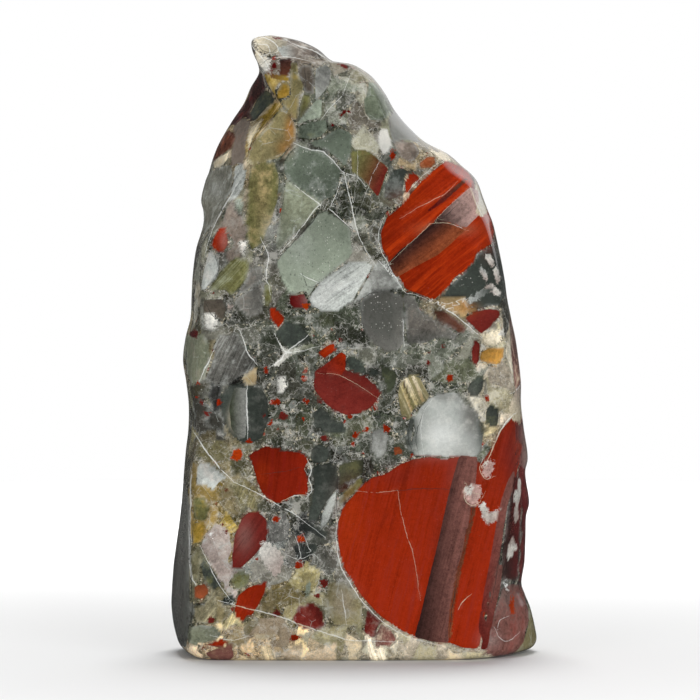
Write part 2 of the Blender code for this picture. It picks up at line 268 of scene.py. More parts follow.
# Fragments drawn on the sheet, later ones over earlier ones: main colour, second colour, look, run of
# the bands in degrees from level, and the outline as x,y, x,y ... in sheet units, y down.
FRAGMENTS = (
    # the left shoulder and its bevel
    ("umber", "crimson", "slate", 60, (262,72, 252,80, 249,95, 243,106, 232,120, 226,131, 234,136, 244,128,
        254,120, 264,112, 272,101, 270,90, 265,82)),
    ("slate", "olive", "smoky", 55, (266,90, 272,95, 276,99, 270,106, 262,116, 254,122, 250,114, 257,100)),
    ("brown", "rust", "cloudy", 60, (220,142, 226,132, 232,128, 236,138, 233,148, 226,151, 219,158, 213,161,
        215,150)),
    ("taupe", "brown", "chert", 65, (233,128, 243,118, 250,122, 247,136, 246,150, 243,163, 238,168, 231,164,
        232,150, 236,138)),
    ("cream", "tan", "glassy", 40, (213,163, 218,158, 229,152, 227,160, 222,166, 215,169)),
    ("stone_grey", "mist", "glassy", 70, (209,172, 215,169, 224,166, 231,165, 233,178, 232,190, 226,199,
        219,212, 211,226, 204,234, 203,215, 200,202, 203,188)),
    ("mist", "grey", "feather", 60, (235,166, 243,164, 246,176, 242,190, 235,199, 229,205, 231,194, 234,180)),
    ("mustard", "cream", "feather", 55, (280,101, 283,106, 276,113, 267,122, 261,130, 254,139, 250,150,
        247,158, 245,147, 248,134, 254,123, 264,113, 271,105)),
    ("cream", "straw", "feather", 60, (262,119, 258,129, 252,139, 249,150, 247,139, 251,128)),
    ("olive", "tan", "cloudy", 75, (250,165, 262,163, 274,162, 279,178, 277,200, 271,222, 262,243, 252,250,
        245,232, 247,205, 249,182)),
    # the beak and the top
    ("mustard", "straw", "cloudy", 50, (264,74, 272,76, 282,78, 291,80, 289,96, 284,99, 279,100, 272,91,
        267,83)),
    ("olive_tan", "mustard", "glassy", 80, (290,80, 291,63, 297,62, 299,76, 304,88, 303,93, 299,97, 299,115,
        297,119, 293,119, 287,110, 281,101, 289,96, 291,90)),
    ("mustard", "olive", "cloudy", 70, (281,84, 287,81, 290,87, 289,95, 284,98, 278,98, 277,92)),
    ("olive", "umber", "cloudy", 80, (303,95, 309,92, 311,104, 301,118, 299,118, 300,104)),
    ("taupe_dark", "umber", "glassy", 80, (299,68, 303,65, 311,65, 315,78, 315,95, 309,93, 304,92, 304,87,
        299,75)),
    ("grey", "slate_green", "glassy", 75, (316,68, 327,65, 331,70, 329,84, 324,92, 316,100, 315,85)),
    ("pale_green", "sage", "glassy", 20, (299,121, 316,100, 322,100, 321,117, 308,121, 296,124)),
    ("slate_green", "olive", "cloudy", 10, (297,128, 308,123, 326,120, 327,130, 320,137, 310,139, 298,138)),
    ("olive_tan", "tan", "glassy", 50, (270,124, 281,107, 287,112, 293,121, 296,128, 296,140, 290,146,
        280,157, 268,161, 250,165, 249,152, 257,137)),
    ("slate_green", "mist", "speckled", 20, (298,146, 312,150, 321,151, 328,156, 335,163, 341,169, 338,186,
        334,196, 320,201, 303,190, 286,178, 284,164, 290,154)),
    ("slate_green", "slate", "speckled", 40, (310,142, 322,139, 331,132, 340,128, 352,134, 351,152, 345,166,
        336,157, 326,149, 314,146)),
    # the upper right shoulder
    ("sage_dark", "pale_green", "glassy", 60, (369,82, 376,84, 385,96, 393,110, 386,118, 378,121, 370,119,
        365,112, 364,101, 368,92)),
    ("grey", "taupe", "milky", 20, (394,111, 406,122, 414,134, 420,142, 405,140, 393,144, 391,135, 389,118)),
    ("quartz", "mist", "milky", 80, (380,130, 387,129, 390,136, 392,145, 388,152, 383,154, 379,146, 378,137)),
    ("taupe", "rose_grey", "glassy", 30, (394,144, 402,141, 413,142, 420,152, 415,160, 409,162, 400,156,
        397,150)),
    ("cream", "rose_grey", "quartz", 40, (430,150, 446,153, 452,160, 443,164, 437,167, 431,158)),
    ("rust", "tan", "plain", 40, (420,163, 427,157, 434,157, 436,165, 430,168, 420,168)),
    ("olive", "brown", "smoky", 75, (351,152, 363,149, 372,154, 388,168, 384,180, 378,197, 372,190, 362,178,
        352,172)),
    ("slate", "mist", "milky", 60, (395,170, 402,168, 408,171, 404,180, 402,195, 390,200, 384,197, 386,185,
        389,176)),
    ("jasper_red", "brick", "plain", 40, (405,183, 409,175, 413,173, 418,176, 421,181, 414,188, 406,193)),
    # the banded red fragment at the upper right
    ("jasper_red", "ember", "jasper", 39, (446,161, 460,166, 467,171, 473,181, 477,193, 483,204, 489,209,
        494,230, 492,243, 476,254, 473,263, 455,279, 434,300, 417,293, 406,289, 397,278, 390,263, 382,248,
        381,232, 387,217, 396,211, 404,203, 419,184, 434,170)),
    ("cream", "quartz", "quartz", 50, (475,178, 481,186, 487,204, 488,212, 480,216, 474,193)),
    ("slate", "charcoal", "speckled", 30, (456,280, 474,264, 478,254, 494,245, 502,262, 506,290, 500,305,
        486,309, 470,306, 455,300, 440,299)),
    # the middle, upper half
    ("sage", "pale_green", "glassy", 45, (286,180, 297,187, 320,202, 318,208, 300,228, 278,251, 276,240,
        280,215, 284,200)),
    ("pale_green", "slate_green", "speckled", 35, (325,212, 336,217, 350,228, 352,255, 320,282, 305,300,
        292,296, 282,280, 277,262, 283,253, 300,237, 318,214)),
    ("mist", "grey", "feather", 35, (374,264, 350,262, 330,275, 318,285, 310,297, 311,304, 322,311, 335,312,
        352,301)),
    ("grey", "mist", "glassy", 30, (376,263, 383,262, 396,275, 403,287, 388,291, 362,299, 354,302, 366,282)),
    ("grey_dark", "slate", "speckled", 60, (361,300, 374,292, 390,292, 403,296, 404,322, 404,343, 397,351,
        387,351, 376,345, 367,335, 361,320)),
    ("grey_dark", "taupe", "glassy", 70, (404,295, 414,296, 420,310, 440,322, 459,333, 455,339, 436,338,
        425,343, 407,343, 406,322)),
    # the left side, upper half
    ("taupe", "grey", "cloudy", 70, (233,198, 240,212, 247,230, 244,241, 239,241, 241,250, 240,262, 232,266,
        226,258, 228,244, 228,228, 222,226, 226,210)),
    ("pale_green", "mist", "feather", 75, (236,200, 241,200, 243,206, 241,214, 236,208)),
    ("jasper_red", "rust", "plain", 80, (220,228, 226,228, 227,236, 228,244, 225,250, 217,251, 212,246,
        214,238)),
    ("quartz", "rose_grey", "quartz", 60, (239,241, 247,242, 246,252, 244,257, 241,250)),
    ("mist", "rose_grey", "glassy", 60, (210,250, 216,256, 219,268, 217,277, 208,285, 206,290, 201,288,
        204,270, 207,258)),
    ("olive", "sage", "feather", 50, (237,258, 248,262, 249,270, 246,280, 240,287, 232,296, 226,290, 208,291,
        212,284, 220,272, 230,262)),
    ("grey_dark", "taupe", "glassy", 50, (250,269, 262,266, 263,280, 250,288, 234,298, 241,288, 247,280)),
    ("grey_dark", "taupe", "glassy", 60, (262,281, 265,283, 263,300, 262,313, 250,318, 240,310, 234,301,
        248,291)),
    ("olive", "sage", "cloudy", 75, (264,285, 270,283, 272,292, 270,304, 265,305)),
    ("taupe_dark", "grey_dark", "smoky", 40, (204,300, 222,299, 226,306, 223,320, 213,315, 204,311)),
    ("quartz", "mist", "quartz", 40, (204,313, 213,313, 218,322, 215,330, 205,330)),
    ("jasper_red", "crimson", "plain", 40, (269,307, 275,309, 283,316, 284,322, 279,328, 272,320)),
    ("crimson", "brick", "plain", 10, (289,296, 304,294, 308,302, 303,308, 295,308, 290,304)),
    ("sage", "taupe", "glassy", 80, (184,333, 192,336, 202,334, 209,344, 210,362, 204,380, 192,384, 187,374,
        184,352)),
    ("grey_dark", "mist", "feather", 70, (214,345, 222,334, 238,333, 246,350, 256,362, 253,372, 240,376,
        228,384, 214,384, 205,380, 213,362)),
    ("tan", "sage", "glassy", 70, (256,368, 257,377, 255,384, 251,388, 244,383, 242,377)),
    ("slate", "grey_dark", "smoky", 80, (226,387, 240,384, 262,388, 268,402, 268,420, 262,438, 250,443,
        238,441, 228,430, 222,412, 222,396)),
    ("slate", "slate_green", "smoky", 30, (276,333, 284,322, 300,325, 311,338, 300,344, 288,348)),
    ("quartz", "mist", "quartz", 60, (277,378, 284,377, 287,386, 283,394, 278,392)),
    # the red group in the middle
    ("brick", "umber", "plain", 20, (314,372, 326,364, 341,352, 346,355, 345,370, 364,376, 376,386, 381,393,
        373,406, 361,413, 346,415, 334,410, 326,404, 314,389)),
    ("jasper_red", "ember", "plain", 20, (318,353, 328,345, 334,344, 336,350, 324,358)),
    ("slate", "slate_green", "smoky", 40, (347,359, 352,356, 362,362, 366,371, 360,374, 350,370)),
    ("moss_dark", "olive", "smoky", 60, (380,365, 391,369, 397,374, 395,384, 389,393, 384,380)),
    ("olive_tan", "cream", "jasper", 118, (400,383, 412,375, 420,378, 430,397, 420,405, 412,411, 410,419,
        401,415, 398,395)),
    ("mist", "quartz", "milky", 60, (430,398, 440,394, 455,392, 463,400, 466,405, 477,410, 480,425, 483,438,
        480,452, 470,460, 450,458, 440,456, 424,458, 413,456, 408,445, 410,430, 415,416, 421,407)),
    ("slate", "umber", "glassy", 70, (409,421, 415,414, 413,426, 411,440, 414,455, 409,450, 406,438)),
    ("slate", "grey_dark", "smoky", 20, (313,412, 322,408, 328,413, 332,420, 342,422, 347,433, 325,432,
        314,425)),
    ("slate", "grey_dark", "smoky", 30, (312,448, 320,444, 328,449, 329,460, 318,464, 310,458)),
    ("grey", "mist", "smoky", 80, (373,431, 382,428, 388,436, 386,452, 378,459, 371,450)),
    # the right side
    ("tan", "amber", "glassy", 20, (434,300, 450,297, 466,298, 468,312, 465,318, 455,313, 445,309)),
    ("brown", "umber", "cloudy", 25, (434,312, 445,312, 458,320, 467,330, 461,333, 440,322)),
    ("brick", "crimson", "plain", 20, (465,318, 475,312, 488,309, 499,310, 500,316, 489,328, 481,334,
        474,327)),
    ("cream", "quartz", "quartz", 20, (482,336, 490,331, 501,330, 503,342, 494,346, 484,347)),
    ("brick", "crimson", "plain", 88, (475,340, 480,344, 479,360, 476,366, 472,360, 472,350)),
    ("ochre", "amber", "cloudy", 20, (481,352, 492,347, 504,348, 503,358, 498,365, 488,363, 480,360)),
    ("slate", "slate_green", "smoky", 60, (479,376, 484,380, 482,390, 476,397, 467,394, 469,385)),
    ("slate", "olive", "smoky", 80, (489,406, 493,404, 499,410, 498,422, 496,427, 486,424, 486,412)),
    ("dusk", "cream", "feather", 88, (509,318, 515,322, 520,345, 524,372, 524,408, 517,404, 514,380,
        511,350)),
    # the big banded red fragment at the lower right
    ("jasper_red", "brick", "jasper", 80, (358,490, 371,478, 386,474, 399,465, 414,459, 429,457, 445,459,
        458,457, 470,458, 481,464, 486,456, 492,448, 500,431, 512,418, 521,408, 526,415, 532,440, 530,460,
        514,480, 503,520, 496,560, 487,600, 479,649, 464,648, 450,643, 432,641, 413,636, 399,629, 379,615,
        361,595, 343,566, 338,543, 338,522, 344,506)),
    ("crimson", "dusk", "plain", 86, (518,470, 527,455, 540,460, 540,580, 519,582, 519,560, 522,520,
        521,490)),
    # the lower right lobe: partly its own dusty purple and red, partly a painted mauve sheen over the red
    ("dusk", "brick", "cloudy", 70, (503,588, 512,584, 524,586, 528,605, 529,622, 524,642, 512,656, 494,657,
        484,652, 490,628, 497,606)),
    ("olive_tan", "grey", "glassy", 70, (524,588, 531,596, 537,615, 540,636, 534,648, 520,654, 513,655,
        524,642, 529,622, 528,605)),
    ("umber", "crimson", "speckled", 70, (512,482, 519,486, 520,500, 520,530, 519,560, 518,580, 503,580,
        502,556, 506,524)),
    # the lower left
    ("deep_red", "crimson", "jasper", 88, (249,456, 253,452, 266,446, 277,449, 292,452, 303,453, 309,460,
        304,468, 307,479, 308,491, 306,495, 294,495, 288,499, 280,503, 272,502, 262,493, 257,480, 253,465)),
    ("slate", "grey_dark", "smoky", 75, (312,467, 330,463, 337,467, 337,488, 333,496, 322,518, 308,521,
        312,500, 315,485)),
    ("mist", "slate_green", "feather", 68, (337,490, 334,506, 328,522, 320,529, 322,514, 330,498)),
    ("moss_dark", "olive", "smoky", 15, (339,466, 350,462, 364,460, 362,474, 348,482, 340,484)),
    ("olive", "sage", "glassy", 40, (338,500, 348,488, 361,477, 362,484, 352,495, 340,506)),
    ("mist", "rose_grey", "glassy", 20, (198,465, 204,462, 214,467, 226,478, 219,482, 213,490, 205,484,
        197,484)),
    ("olive", "mustard", "cloudy", 60, (193,499, 204,498, 209,508, 206,520, 194,519)),
    ("mustard", "ochre", "cloudy", 40, (193,524, 204,521, 207,532, 200,543, 193,542)),
    ("rose_grey", "mist", "glassy", 55, (201,545, 207,533, 216,524, 226,527, 233,538, 231,556, 234,569,
        240,576, 238,592, 234,602, 222,584, 209,562)),
    ("brick", "crimson", "jasper", 55, (249,512, 258,512, 266,519, 268,531, 266,541, 254,556, 242,567,
        233,569, 232,556, 235,535, 242,518)),
    ("olive", "slate_green", "cloudy", 30, (233,574, 242,571, 250,575, 248,584, 238,590, 232,584)),
    ("jasper_red", "crimson", "jasper", 65, (266,582, 265,591, 259,604, 252,615, 247,615, 242,622, 235,616,
        235,608, 238,596, 249,587)),
    ("slate", "olive", "cloudy", 60, (203,557, 213,570, 222,585, 214,589, 205,584, 201,566)),
    ("slate", "umber", "cloudy", 20, (222,600, 230,594, 236,599, 232,605, 224,605)),
    ("rust", "brown", "plain", 30, (195,586, 205,584, 209,592, 202,599, 195,597)),
    ("sage", "grey", "glassy", 10, (188,628, 200,625, 214,626, 222,634, 214,640, 196,645, 186,642)),
    ("jasper_red", "brick", "plain", 15, (201,648, 212,643, 222,639, 227,642, 224,646, 205,652)),
    ("dusk", "tan", "plain", 10, (205,653, 224,646, 231,643, 234,656, 230,660, 212,660)),
    ("brick", "dusk", "glassy", 88, (298,606, 312,603, 321,610, 325,625, 318,630, 300,627, 293,620)),
    ("olive_tan", "grey", "glassy", 80, (328,583, 344,582, 356,594, 362,606, 361,624, 346,627, 334,624,
        326,604)),
    ("brick", "taupe", "cloudy", 60, (364,632, 367,609, 383,622, 376,640)),
    ("dusk", "cream", "cloudy", 50, (374,640, 381,624, 391,630, 396,640, 388,647, 376,647)),
    ("grey_dark", "slate", "feather", 86, (164,475, 183,472, 189,500, 190,540, 189,580, 190,620, 186,648,
        170,640, 160,600, 162,540)),
)

# Bands and patches that lie over the fragments, later ones on top: colour, the colour that it runs
# into, the way it runs in degrees from level, how ragged the edge is, and the outline.
OVERLAYS = (
    ("umber", "rust", -50, 0.1, (388,263, 400,250, 411,242, 433,222.5, 448,223, 466,229, 452,243, 438,255,
        415,267, 396,278)),
    ("umber", "pink_quartz", 30, 0.1, (433,222, 447,208, 470,187, 479,191, 484,205, 478,216, 466,228,
        448,222)),
    ("crimson", "brown", 35, 0.7, (425,212, 440,199, 462,180, 470,174, 466,182, 444,202, 428,213)),
    ("cream", "quartz", 60, 1.6, (478,188, 484,196, 488,206, 487,214, 481,217, 475,212, 479,200)),
    ("rose_grey", "quartz", 60, 1.8, (484,256, 489,252, 495,262, 493,270, 488,264)),
    ("rose_grey", "quartz", 60, 1.8, (492,268, 498,266, 501,280, 497,285, 494,277)),
    ("rose_grey", "mist", 60, 1.8, (478,268, 483,266, 489,276, 487,283, 481,276)),
    ("rose_grey", "quartz", 20, 1.8, (484,285, 492,283, 502,292, 499,297, 489,292)),
    ("mist", "slate", 20, 2.2, (466,300, 480,290, 491,287, 494,290, 480,299, 470,305)),
    ("umber", "dusk", -8, 0.4, (459,455, 478,457, 476,480, 473,505, 470,523, 464,548, 458,572, 453,600,
        450,643, 432,642, 414,637, 420,616, 426,590, 432,566, 438,542, 444,514, 449,492)),
    ("brown", "rust", -15, 2.0, (474,492, 478,494, 474,520, 468,545, 463,566, 458,590, 454,612, 452,640,
        448,640, 450,606, 455,578, 462,548, 469,520)),
    ("dusk", "brick", -80, 0.3, (498,563, 503,566, 500,590, 494,615, 487,651, 480,649, 484,632, 488,608,
        493,585)),
    ("brick", "dusk", 0, 0.3, (508,480, 514,470, 516,480, 508,504, 503,535, 499,564, 490,590, 480,640,
        476,640, 484,590, 490,560, 496,525, 501,500)),
    ("umber", "crimson", 0, 2.0, (514,476, 521,478, 522,500, 519,540, 518,578, 506,580, 505,556, 510,520)),
    ("quartz", "rose_grey", -80, 1.4, (518,478, 521,477, 521,494, 518,508, 519,518, 515,524, 514,512,
        517,496)),
    ("rose_grey", "quartz", -80, 1.4, (509,544, 513,536, 515,545, 513,556, 508,560, 507,552)),
    ("brick", "rose_grey", 0, 1.6, (516,424, 528,418, 534,440, 534,462, 524,470, 518,462, 522,446, 515,438)),
    ("quartz", "rose_grey", -60, 2.4, (478,505, 484,500, 490,512, 500,508, 498,520, 488,526, 482,518)),
    ("cream", "rose_grey", 60, 2.2, (516,388, 523,382, 525,410, 520,424, 512,420, 508,408)),
    ("moss_dark", "grey", 0, 0.5, (234,387, 247,388, 247,414, 246,437, 239,440, 231,428, 229,408)),
    ("cream", "straw", -60, 0.2, (404,379, 408,377, 419,403, 416,406)),
    ("cream", "tan", -60, 0.2, (411,376, 414,375, 425,401, 422,403)),
    ("straw", "tan", -60, 0.2, (400,386, 402,384, 413,410, 411,413)),
    ("umber", "olive", -60, 0.2, (402.5,383, 404,381, 415,407.5, 413,409.5)),
    ("charcoal", "slate", 20, 1.8, (292,547, 300,541, 306,546, 314,542, 318,549, 310,556, 304,566, 298,560)),
    ("charcoal", "slate", 40, 1.8, (298,524, 308,521, 318,528, 330,533, 321,539, 312,532, 304,533)),
    ("quartz", "rose_grey", -40, 2.8, (262,540, 272,544, 282,552, 284,566, 276,580, 266,568, 258,556)),
    ("cream", "bone", -30, 2.4, (252,36, 270,35, 288,42, 284,52, 270,56, 258,52)),
    ("mist", "taupe", 10, 0.9, (277,48, 290,44, 300,50, 296,58, 282,57)),
    ("umber", "brown", -70, 1.8, (279,58, 292,58, 291,70, 286,78, 278,77, 280,68)),
    ("brown", "mustard", -20, 1.6, (266,72, 276,74, 290,77, 288,81, 274,80)),
    ("cream", "quartz", -50, 2.4, (254,46, 262,54, 272,60, 268,72, 262,74, 256,60)),
    ("brick", "jasper_red", 40, 0.2, (316,373, 326,364, 341,352, 346,355, 345,370, 341,376, 328,374)),
    ("olive", "brick", -25, 0.5, (356,156, 372,154, 388,168, 384,180, 378,197, 372,190, 362,178, 355,170)),
    ("quartz", "sage", 15, 1.6, (278,341, 284,347, 291,349, 303,345, 313,343, 314,348, 301,352, 291,355,
        284,362, 277,367, 271,366, 279,359, 283,353, 279,347)),
)

# Small round specks over the rest: x, y, half width, half height, tilt in degrees, colour. The two
# white ones, at (506,586) and (211,535), are painted highlights.
SPECKS = (
    (274,66, 3.2, 3.6, 20, "crimson"), (271,71, 2.0, 1.2, 0, "crimson"), (277,38, 5.0, 1.6, 8, "brick"),
    (344,66, 6.5, 2.2, 20, "brick"), (343,113, 5.5, 2.2, -50, "crimson"), (349,111, 2.0, 2.4, 0, "crimson"),
    (333,125, 2.3, 2.3, 0, "crimson"), (393,155, 3.2, 6.0, 5, "jasper_red"), (213,293, 2, 2, 0, "brick"),
    (230,307, 2.6, 2.6, 0, "rose_grey"), (306,306, 4.2, 3.6, 0, "ember"), (194,334, 4.6, 4.6, 0, "crimson"),
    (213,351, 2, 2, 0, "crimson"), (199,383, 2.6, 2.2, 0, "jasper_red"), (219,403, 3.0, 4.2, 0, "jasper_red"),
    (202,402, 3, 3, 0, "brick"), (207,414, 4.0, 3.0, 20, "brick"), (266,370, 2.4, 5.0, 0, "jasper_red"),
    (277,402, 4.4, 3.8, 0, "jasper_red"), (283,416, 5.0, 4.6, 0, "brick"),
    (271,423, 2.4, 4.2, 30, "jasper_red"), (278,430, 2.0, 1.6, 0, "jasper_red"),
    (303,419, 2.6, 2.6, 0, "jasper_red"), (306,401, 4.0, 3.0, 10, "jasper_red"),
    (320,401, 3.4, 2.6, 0, "brick"), (249,441, 3, 3, 0, "jasper_red"), (324,438, 4.2, 3.8, 0, "brick"),
    (264,415, 2.4, 2.4, 0, "brick"), (355,435, 4.0, 3.4, 0, "jasper_red"),
    (366,430, 3.8, 2.8, -20, "jasper_red"), (350,417, 3.6, 3.2, 0, "jasper_red"),
    (387,429, 3.6, 5.6, -35, "jasper_red"), (398,451, 5.0, 4.6, 0, "rust"), (428,363, 3, 3, 0, "brick"),
    (450,378, 4.4, 4.0, 0, "jasper_red"), (443,346, 2.4, 2.4, 0, "brick"), (430,353, 2, 2, 0, "brick"),
    (487,398, 2.6, 4.0, 0, "jasper_red"), (502,333, 3.0, 3.6, 0, "quartz"), (237,455, 5.6, 7.0, 30, "ember"),
    (216,463, 2.4, 1.8, 30, "jasper_red"), (226,490, 2.5, 2.5, 0, "brick"), (226,532, 2.6, 2.2, 0, "brick"),
    (223,525, 2, 2, 0, "brick"), (301,539, 4.6, 4.4, 0, "ember"), (299,565, 4.0, 3.8, 0, "jasper_red"),
    (276,519, 4, 4, 0, "jasper_red"), (317,596, 3, 3, 0, "brick"), (324,583, 5.0, 4.6, 0, "brick"),
    (257,559, 2.4, 2.4, 0, "jasper_red"), (295,638, 6.0, 4.0, -20, "jasper_red"),
    (277,613, 5.0, 4.0, 0, "brick"), (211,620, 4.6, 3.6, 0, "brick"), (308,588, 3.0, 9.5, 5, "pale_green"),
    (473,494, 9.0, 10.5, 0, "pink_quartz"), (488,469, 6.0, 10.0, 20, "pink_quartz"),
    # the white speck at (506,586) on this line is a painted highlight
    (469,490, 3.5, 5.0, 30, "quartz"), (486,463, 2.2, 4.0, 20, "quartz"), (506,586, 2.0, 5.0, -30, "white"),
    (516,495, 2.4, 6.0, 10, "quartz"), (514,548, 3.0, 3.0, 0, "quartz"), (512,606, 3.0, 12.0, 0, "ember"),
    # the white speck at (211,535) on this line is a painted highlight
    (211,535, 4.0, 2.4, 20, "white"), (374,372, 5.0, 4.0, 0, "slate"), (340,340, 3.0, 2.4, 0, "brick"),
    (332,330, 2.0, 2.0, 0, "jasper_red"),
)

# Broad tints that glow inside the fragments: x, y, half width, half height, colour, strength.
TINTS = (
    (234,418, 5, 11, "cream", 0.6), (468,168, 8, 12, "deep_red", 0.6), (486,226, 7, 20, "deep_red", 0.5),
    (512,452, 12, 26, "brick", 0.7), (290,130, 5, 13, "amber", 0.7), (284,148, 8, 8, "amber", 0.4),
    (284,92, 6, 8, "amber", 0.2), (437,244, 14, 8, "ember", 0.55), (446,229, 22, 6, "tan", 0.5),
    (225,240, 5, 10, "rose_grey", 0.3), (440,436, 22, 14, "white", 0.5), (472,414, 11, 24, "grey_dark", 0.9),
    (446,397, 16, 5, "grey_dark", 0.6), (418,446, 10, 10, "slate_green", 0.4),
    (415,434, 5, 22, "slate", 0.85), (482,430, 6, 26, "slate", 0.85), (466,308, 10, 6, "amber", 0.6),
    (340,286, 22, 7, "white", 0.35), (320,300, 12, 8, "white", 0.4), (462,480, 12, 20, "dusk", 0.5),
    (442,560, 9, 40, "umber", 0.45), (398,476, 18, 10, "brick", 0.35), (350,520, 14, 34, "ember", 0.25),
    (505,600, 10, 16, "rose_grey", 0.3), (262,474, 10, 14, "ember", 0.25), (244,536, 9, 16, "rose_grey", 0.2),
    (381,92, 6, 8, "slate", 0.3), (300,250, 14, 18, "mist", 0.25), (346,236, 8, 12, "slate_green", 0.4),
    (262,200, 8, 34, "tan", 0.35), (271,232, 8, 14, "mist", 0.4), (216,190, 9, 12, "mist", 0.35),
    (385,318, 18, 20, "slate", 0.35), (430,325, 22, 8, "taupe", 0.35), (178,610, 8, 26, "grey_dark", 0.3),
    (488,230, 8, 16, "ember", 0.35), (415,200, 26, 10, "ember", 0.2), (520,440, 8, 22, "ember", 0.3),
    (344,604, 12, 16, "rose_grey", 0.35), (424,420, 8, 20, "grey_dark", 0.35), (490,640, 10, 10, "mist", 0.3),
)

# The ground between the fragments: x, y, half width, half height, colour, druse, dark pits,
# small broken bits, red flecks.
GROUNDS = (
    (300,48, 40, 12, "taupe", 0.85, 0.3, 0.35, 0.05), (346,68, 16, 7, "bone", 0.7, 0.25, 0.3, 0.2),
    (335,92, 16, 22, "moss_grey", 0.95, 0.2, 0.45, 0.05), (360,112, 12, 32, "bone", 0.95, 0.25, 0.4, 0.05),
    (332,140, 20, 16, "moss_dark", 0.6, 0.15, 0.55, 0.05), (242,160, 12, 26, "sand", 0.25, 0.2, 0.3, 0.05),
    (225,192, 12, 26, "stone_grey", 0.4, 0.1, 0.3, 0.05), (400,128, 16, 16, "stone_grey", 0.4, 0.1, 0.3, 0.2),
    (428,158, 14, 10, "sand", 0.55, 0.2, 0.4, 0.2), (362,204, 14, 26, "moss_dark", 0.55, 0.2, 0.6, 0.05),
    (300,166, 20, 12, "moss_grey", 0.45, 0.1, 0.4, 0.05),
    (272,264, 9, 30, "stone_grey", 0.95, 0.05, 0.3, 0.05),
    (362,240, 10, 26, "stone_grey", 0.95, 0.1, 0.5, 0.05),
    (384,288, 25, 10, "moss_dark", 0.55, 0.15, 0.6, 0.05),
    (205,246, 8, 36, "stone_grey", 0.8, 0.2, 0.3, 0.05), (199,302, 8, 18, "stone_grey", 0.6, 0.2, 0.3, 0.05),
    (232,322, 26, 10, "dark_ground", 0.75, 0.45, 0.55, 0.1),
    (300,326, 30, 14, "moss_dark", 0.6, 0.2, 0.75, 0.15), (346,334, 16, 18, "moss_dark", 0.8, 0.15, 0.8, 0.1),
    (444,300, 10, 10, "sand", 0.6, 0.1, 0.3, 0.05), (432,356, 40, 14, "moss_grey", 0.75, 0.25, 0.75, 0.3),
    (492,374, 16, 22, "cream", 1.0, 0.35, 0.4, 0.1), (502,330, 10, 14, "cream", 0.9, 0.2, 0.4, 0.1),
    (462,386, 24, 12, "moss_dark", 0.85, 0.3, 0.7, 0.2), (362,428, 30, 22, "moss_dark", 0.7, 0.3, 0.85, 0.45),
    (300,432, 32, 26, "moss_dark", 0.8, 0.25, 0.85, 0.5), (222,402, 26, 30, "charcoal", 0.3, 0.4, 0.7, 0.6),
    (200,446, 14, 18, "olive_ground", 0.55, 0.3, 0.6, 0.2),
    (228,448, 26, 12, "olive_ground", 0.65, 0.25, 0.5, 0.25),
    (330,480, 26, 14, "dark_ground", 0.6, 0.3, 0.6, 0.1), (274,556, 16, 20, "mist", 1.0, 0.25, 0.1, 0.05),
    (308,544, 22, 22, "charcoal", 0.6, 0.3, 0.2, 0.0), (293,438, 11, 9, "stone_grey", 1.0, 0.5, 0.2, 0.2),
    (240,326, 14, 6, "stone_grey", 1.0, 0.5, 0.3, 0.1), (300,512, 26, 12, "dark_ground", 0.9, 0.4, 0.5, 0.1),
    (212,516, 16, 20, "mustard", 0.55, 0.3, 0.5, 0.15), (246,500, 16, 12, "olive_ground", 0.6, 0.2, 0.5, 0.1),
    (198,566, 10, 24, "olive_ground", 0.2, 0.3, 0.5, 0.05), (288,592, 18, 14, "mustard", 0.5, 0.3, 0.6, 0.1),
    (306,590, 30, 16, "olive_ground", 0.7, 0.25, 0.8, 0.2),
    (240,598, 16, 10, "olive_ground", 0.3, 0.25, 0.6, 0.1),
    (330,566, 12, 20, "stone_grey", 0.95, 0.2, 0.5, 0.1),
    (262,648, 60, 8, "straw_ground", 0.8, 0.25, 0.7, 0.1), (350,646, 30, 9, "cream", 0.8, 0.15, 0.6, 0.05),
    (426,652, 44, 6, "cream", 0.8, 0.1, 0.3, 0.05), (352,606, 12, 26, "olive_ground", 0.45, 0.15, 0.5, 0.05),
    (178,560, 8, 70, "dark_ground", 0.2, 0.2, 0.3, 0.05),
    (520,520, 8, 40, "dark_ground", 0.6, 0.4, 0.4, 0.05), (506,300, 8, 20, "dark_ground", 0.4, 0.2, 0.4, 0.1),
    (470,284, 20, 14, "dark_ground", 0.7, 0.3, 0.5, 0.15), (502,400, 14, 14, "cream", 1.0, 0.35, 0.4, 0.1),
    (272,380, 14, 16, "dark_ground", 0.6, 0.2, 0.7, 0.3),
    (196,356, 14, 30, "olive_ground", 0.4, 0.3, 0.6, 0.2),
    (392,420, 14, 16, "moss_dark", 0.75, 0.3, 0.7, 0.2), (468,456, 20, 8, "moss_dark", 0.5, 0.2, 0.6, 0.2),
    (336,384, 60, 14, "dark_ground", 0.6, 0.25, 0.7, 0.2), (500,440, 10, 10, "sand", 0.4, 0.2, 0.4, 0.1),
)

# What the ground takes on where the sheet can't be seen: the back, the sides and the base.
HIDDEN_GROUNDS = ("moss_dark", "stone_grey", "moss_grey", "sand", "olive_ground", "dark_ground")
HIDDEN_CRUST = (0.60, 0.20, 0.70, 0.35)

# Fragments met on the hidden faces: main colour, second colour, look, how common.
HIDDEN_FRAGMENTS = (
    ("jasper_red", "ember", "jasper", 1.3), ("brick", "crimson", "plain", 1.4),
    ("crimson", "brick", "plain", 0.7), ("sage", "pale_green", "glassy", 2.0),
    ("slate_green", "mist", "speckled", 2.4), ("grey", "mist", "glassy", 2.0),
    ("slate", "grey_dark", "cloudy", 2.6), ("olive", "tan", "cloudy", 1.5),
    ("taupe", "rose_grey", "glassy", 1.8), ("mist", "grey", "feather", 1.6), ("quartz", "mist", "milky", 0.5),
    ("brown", "tan", "chert", 0.7), ("mustard", "olive", "glassy", 0.4),
    ("rose_grey", "cream", "glassy", 1.0), ("olive_tan", "straw", "glassy", 1.2),
    ("grey_dark", "taupe", "glassy", 1.8),
)
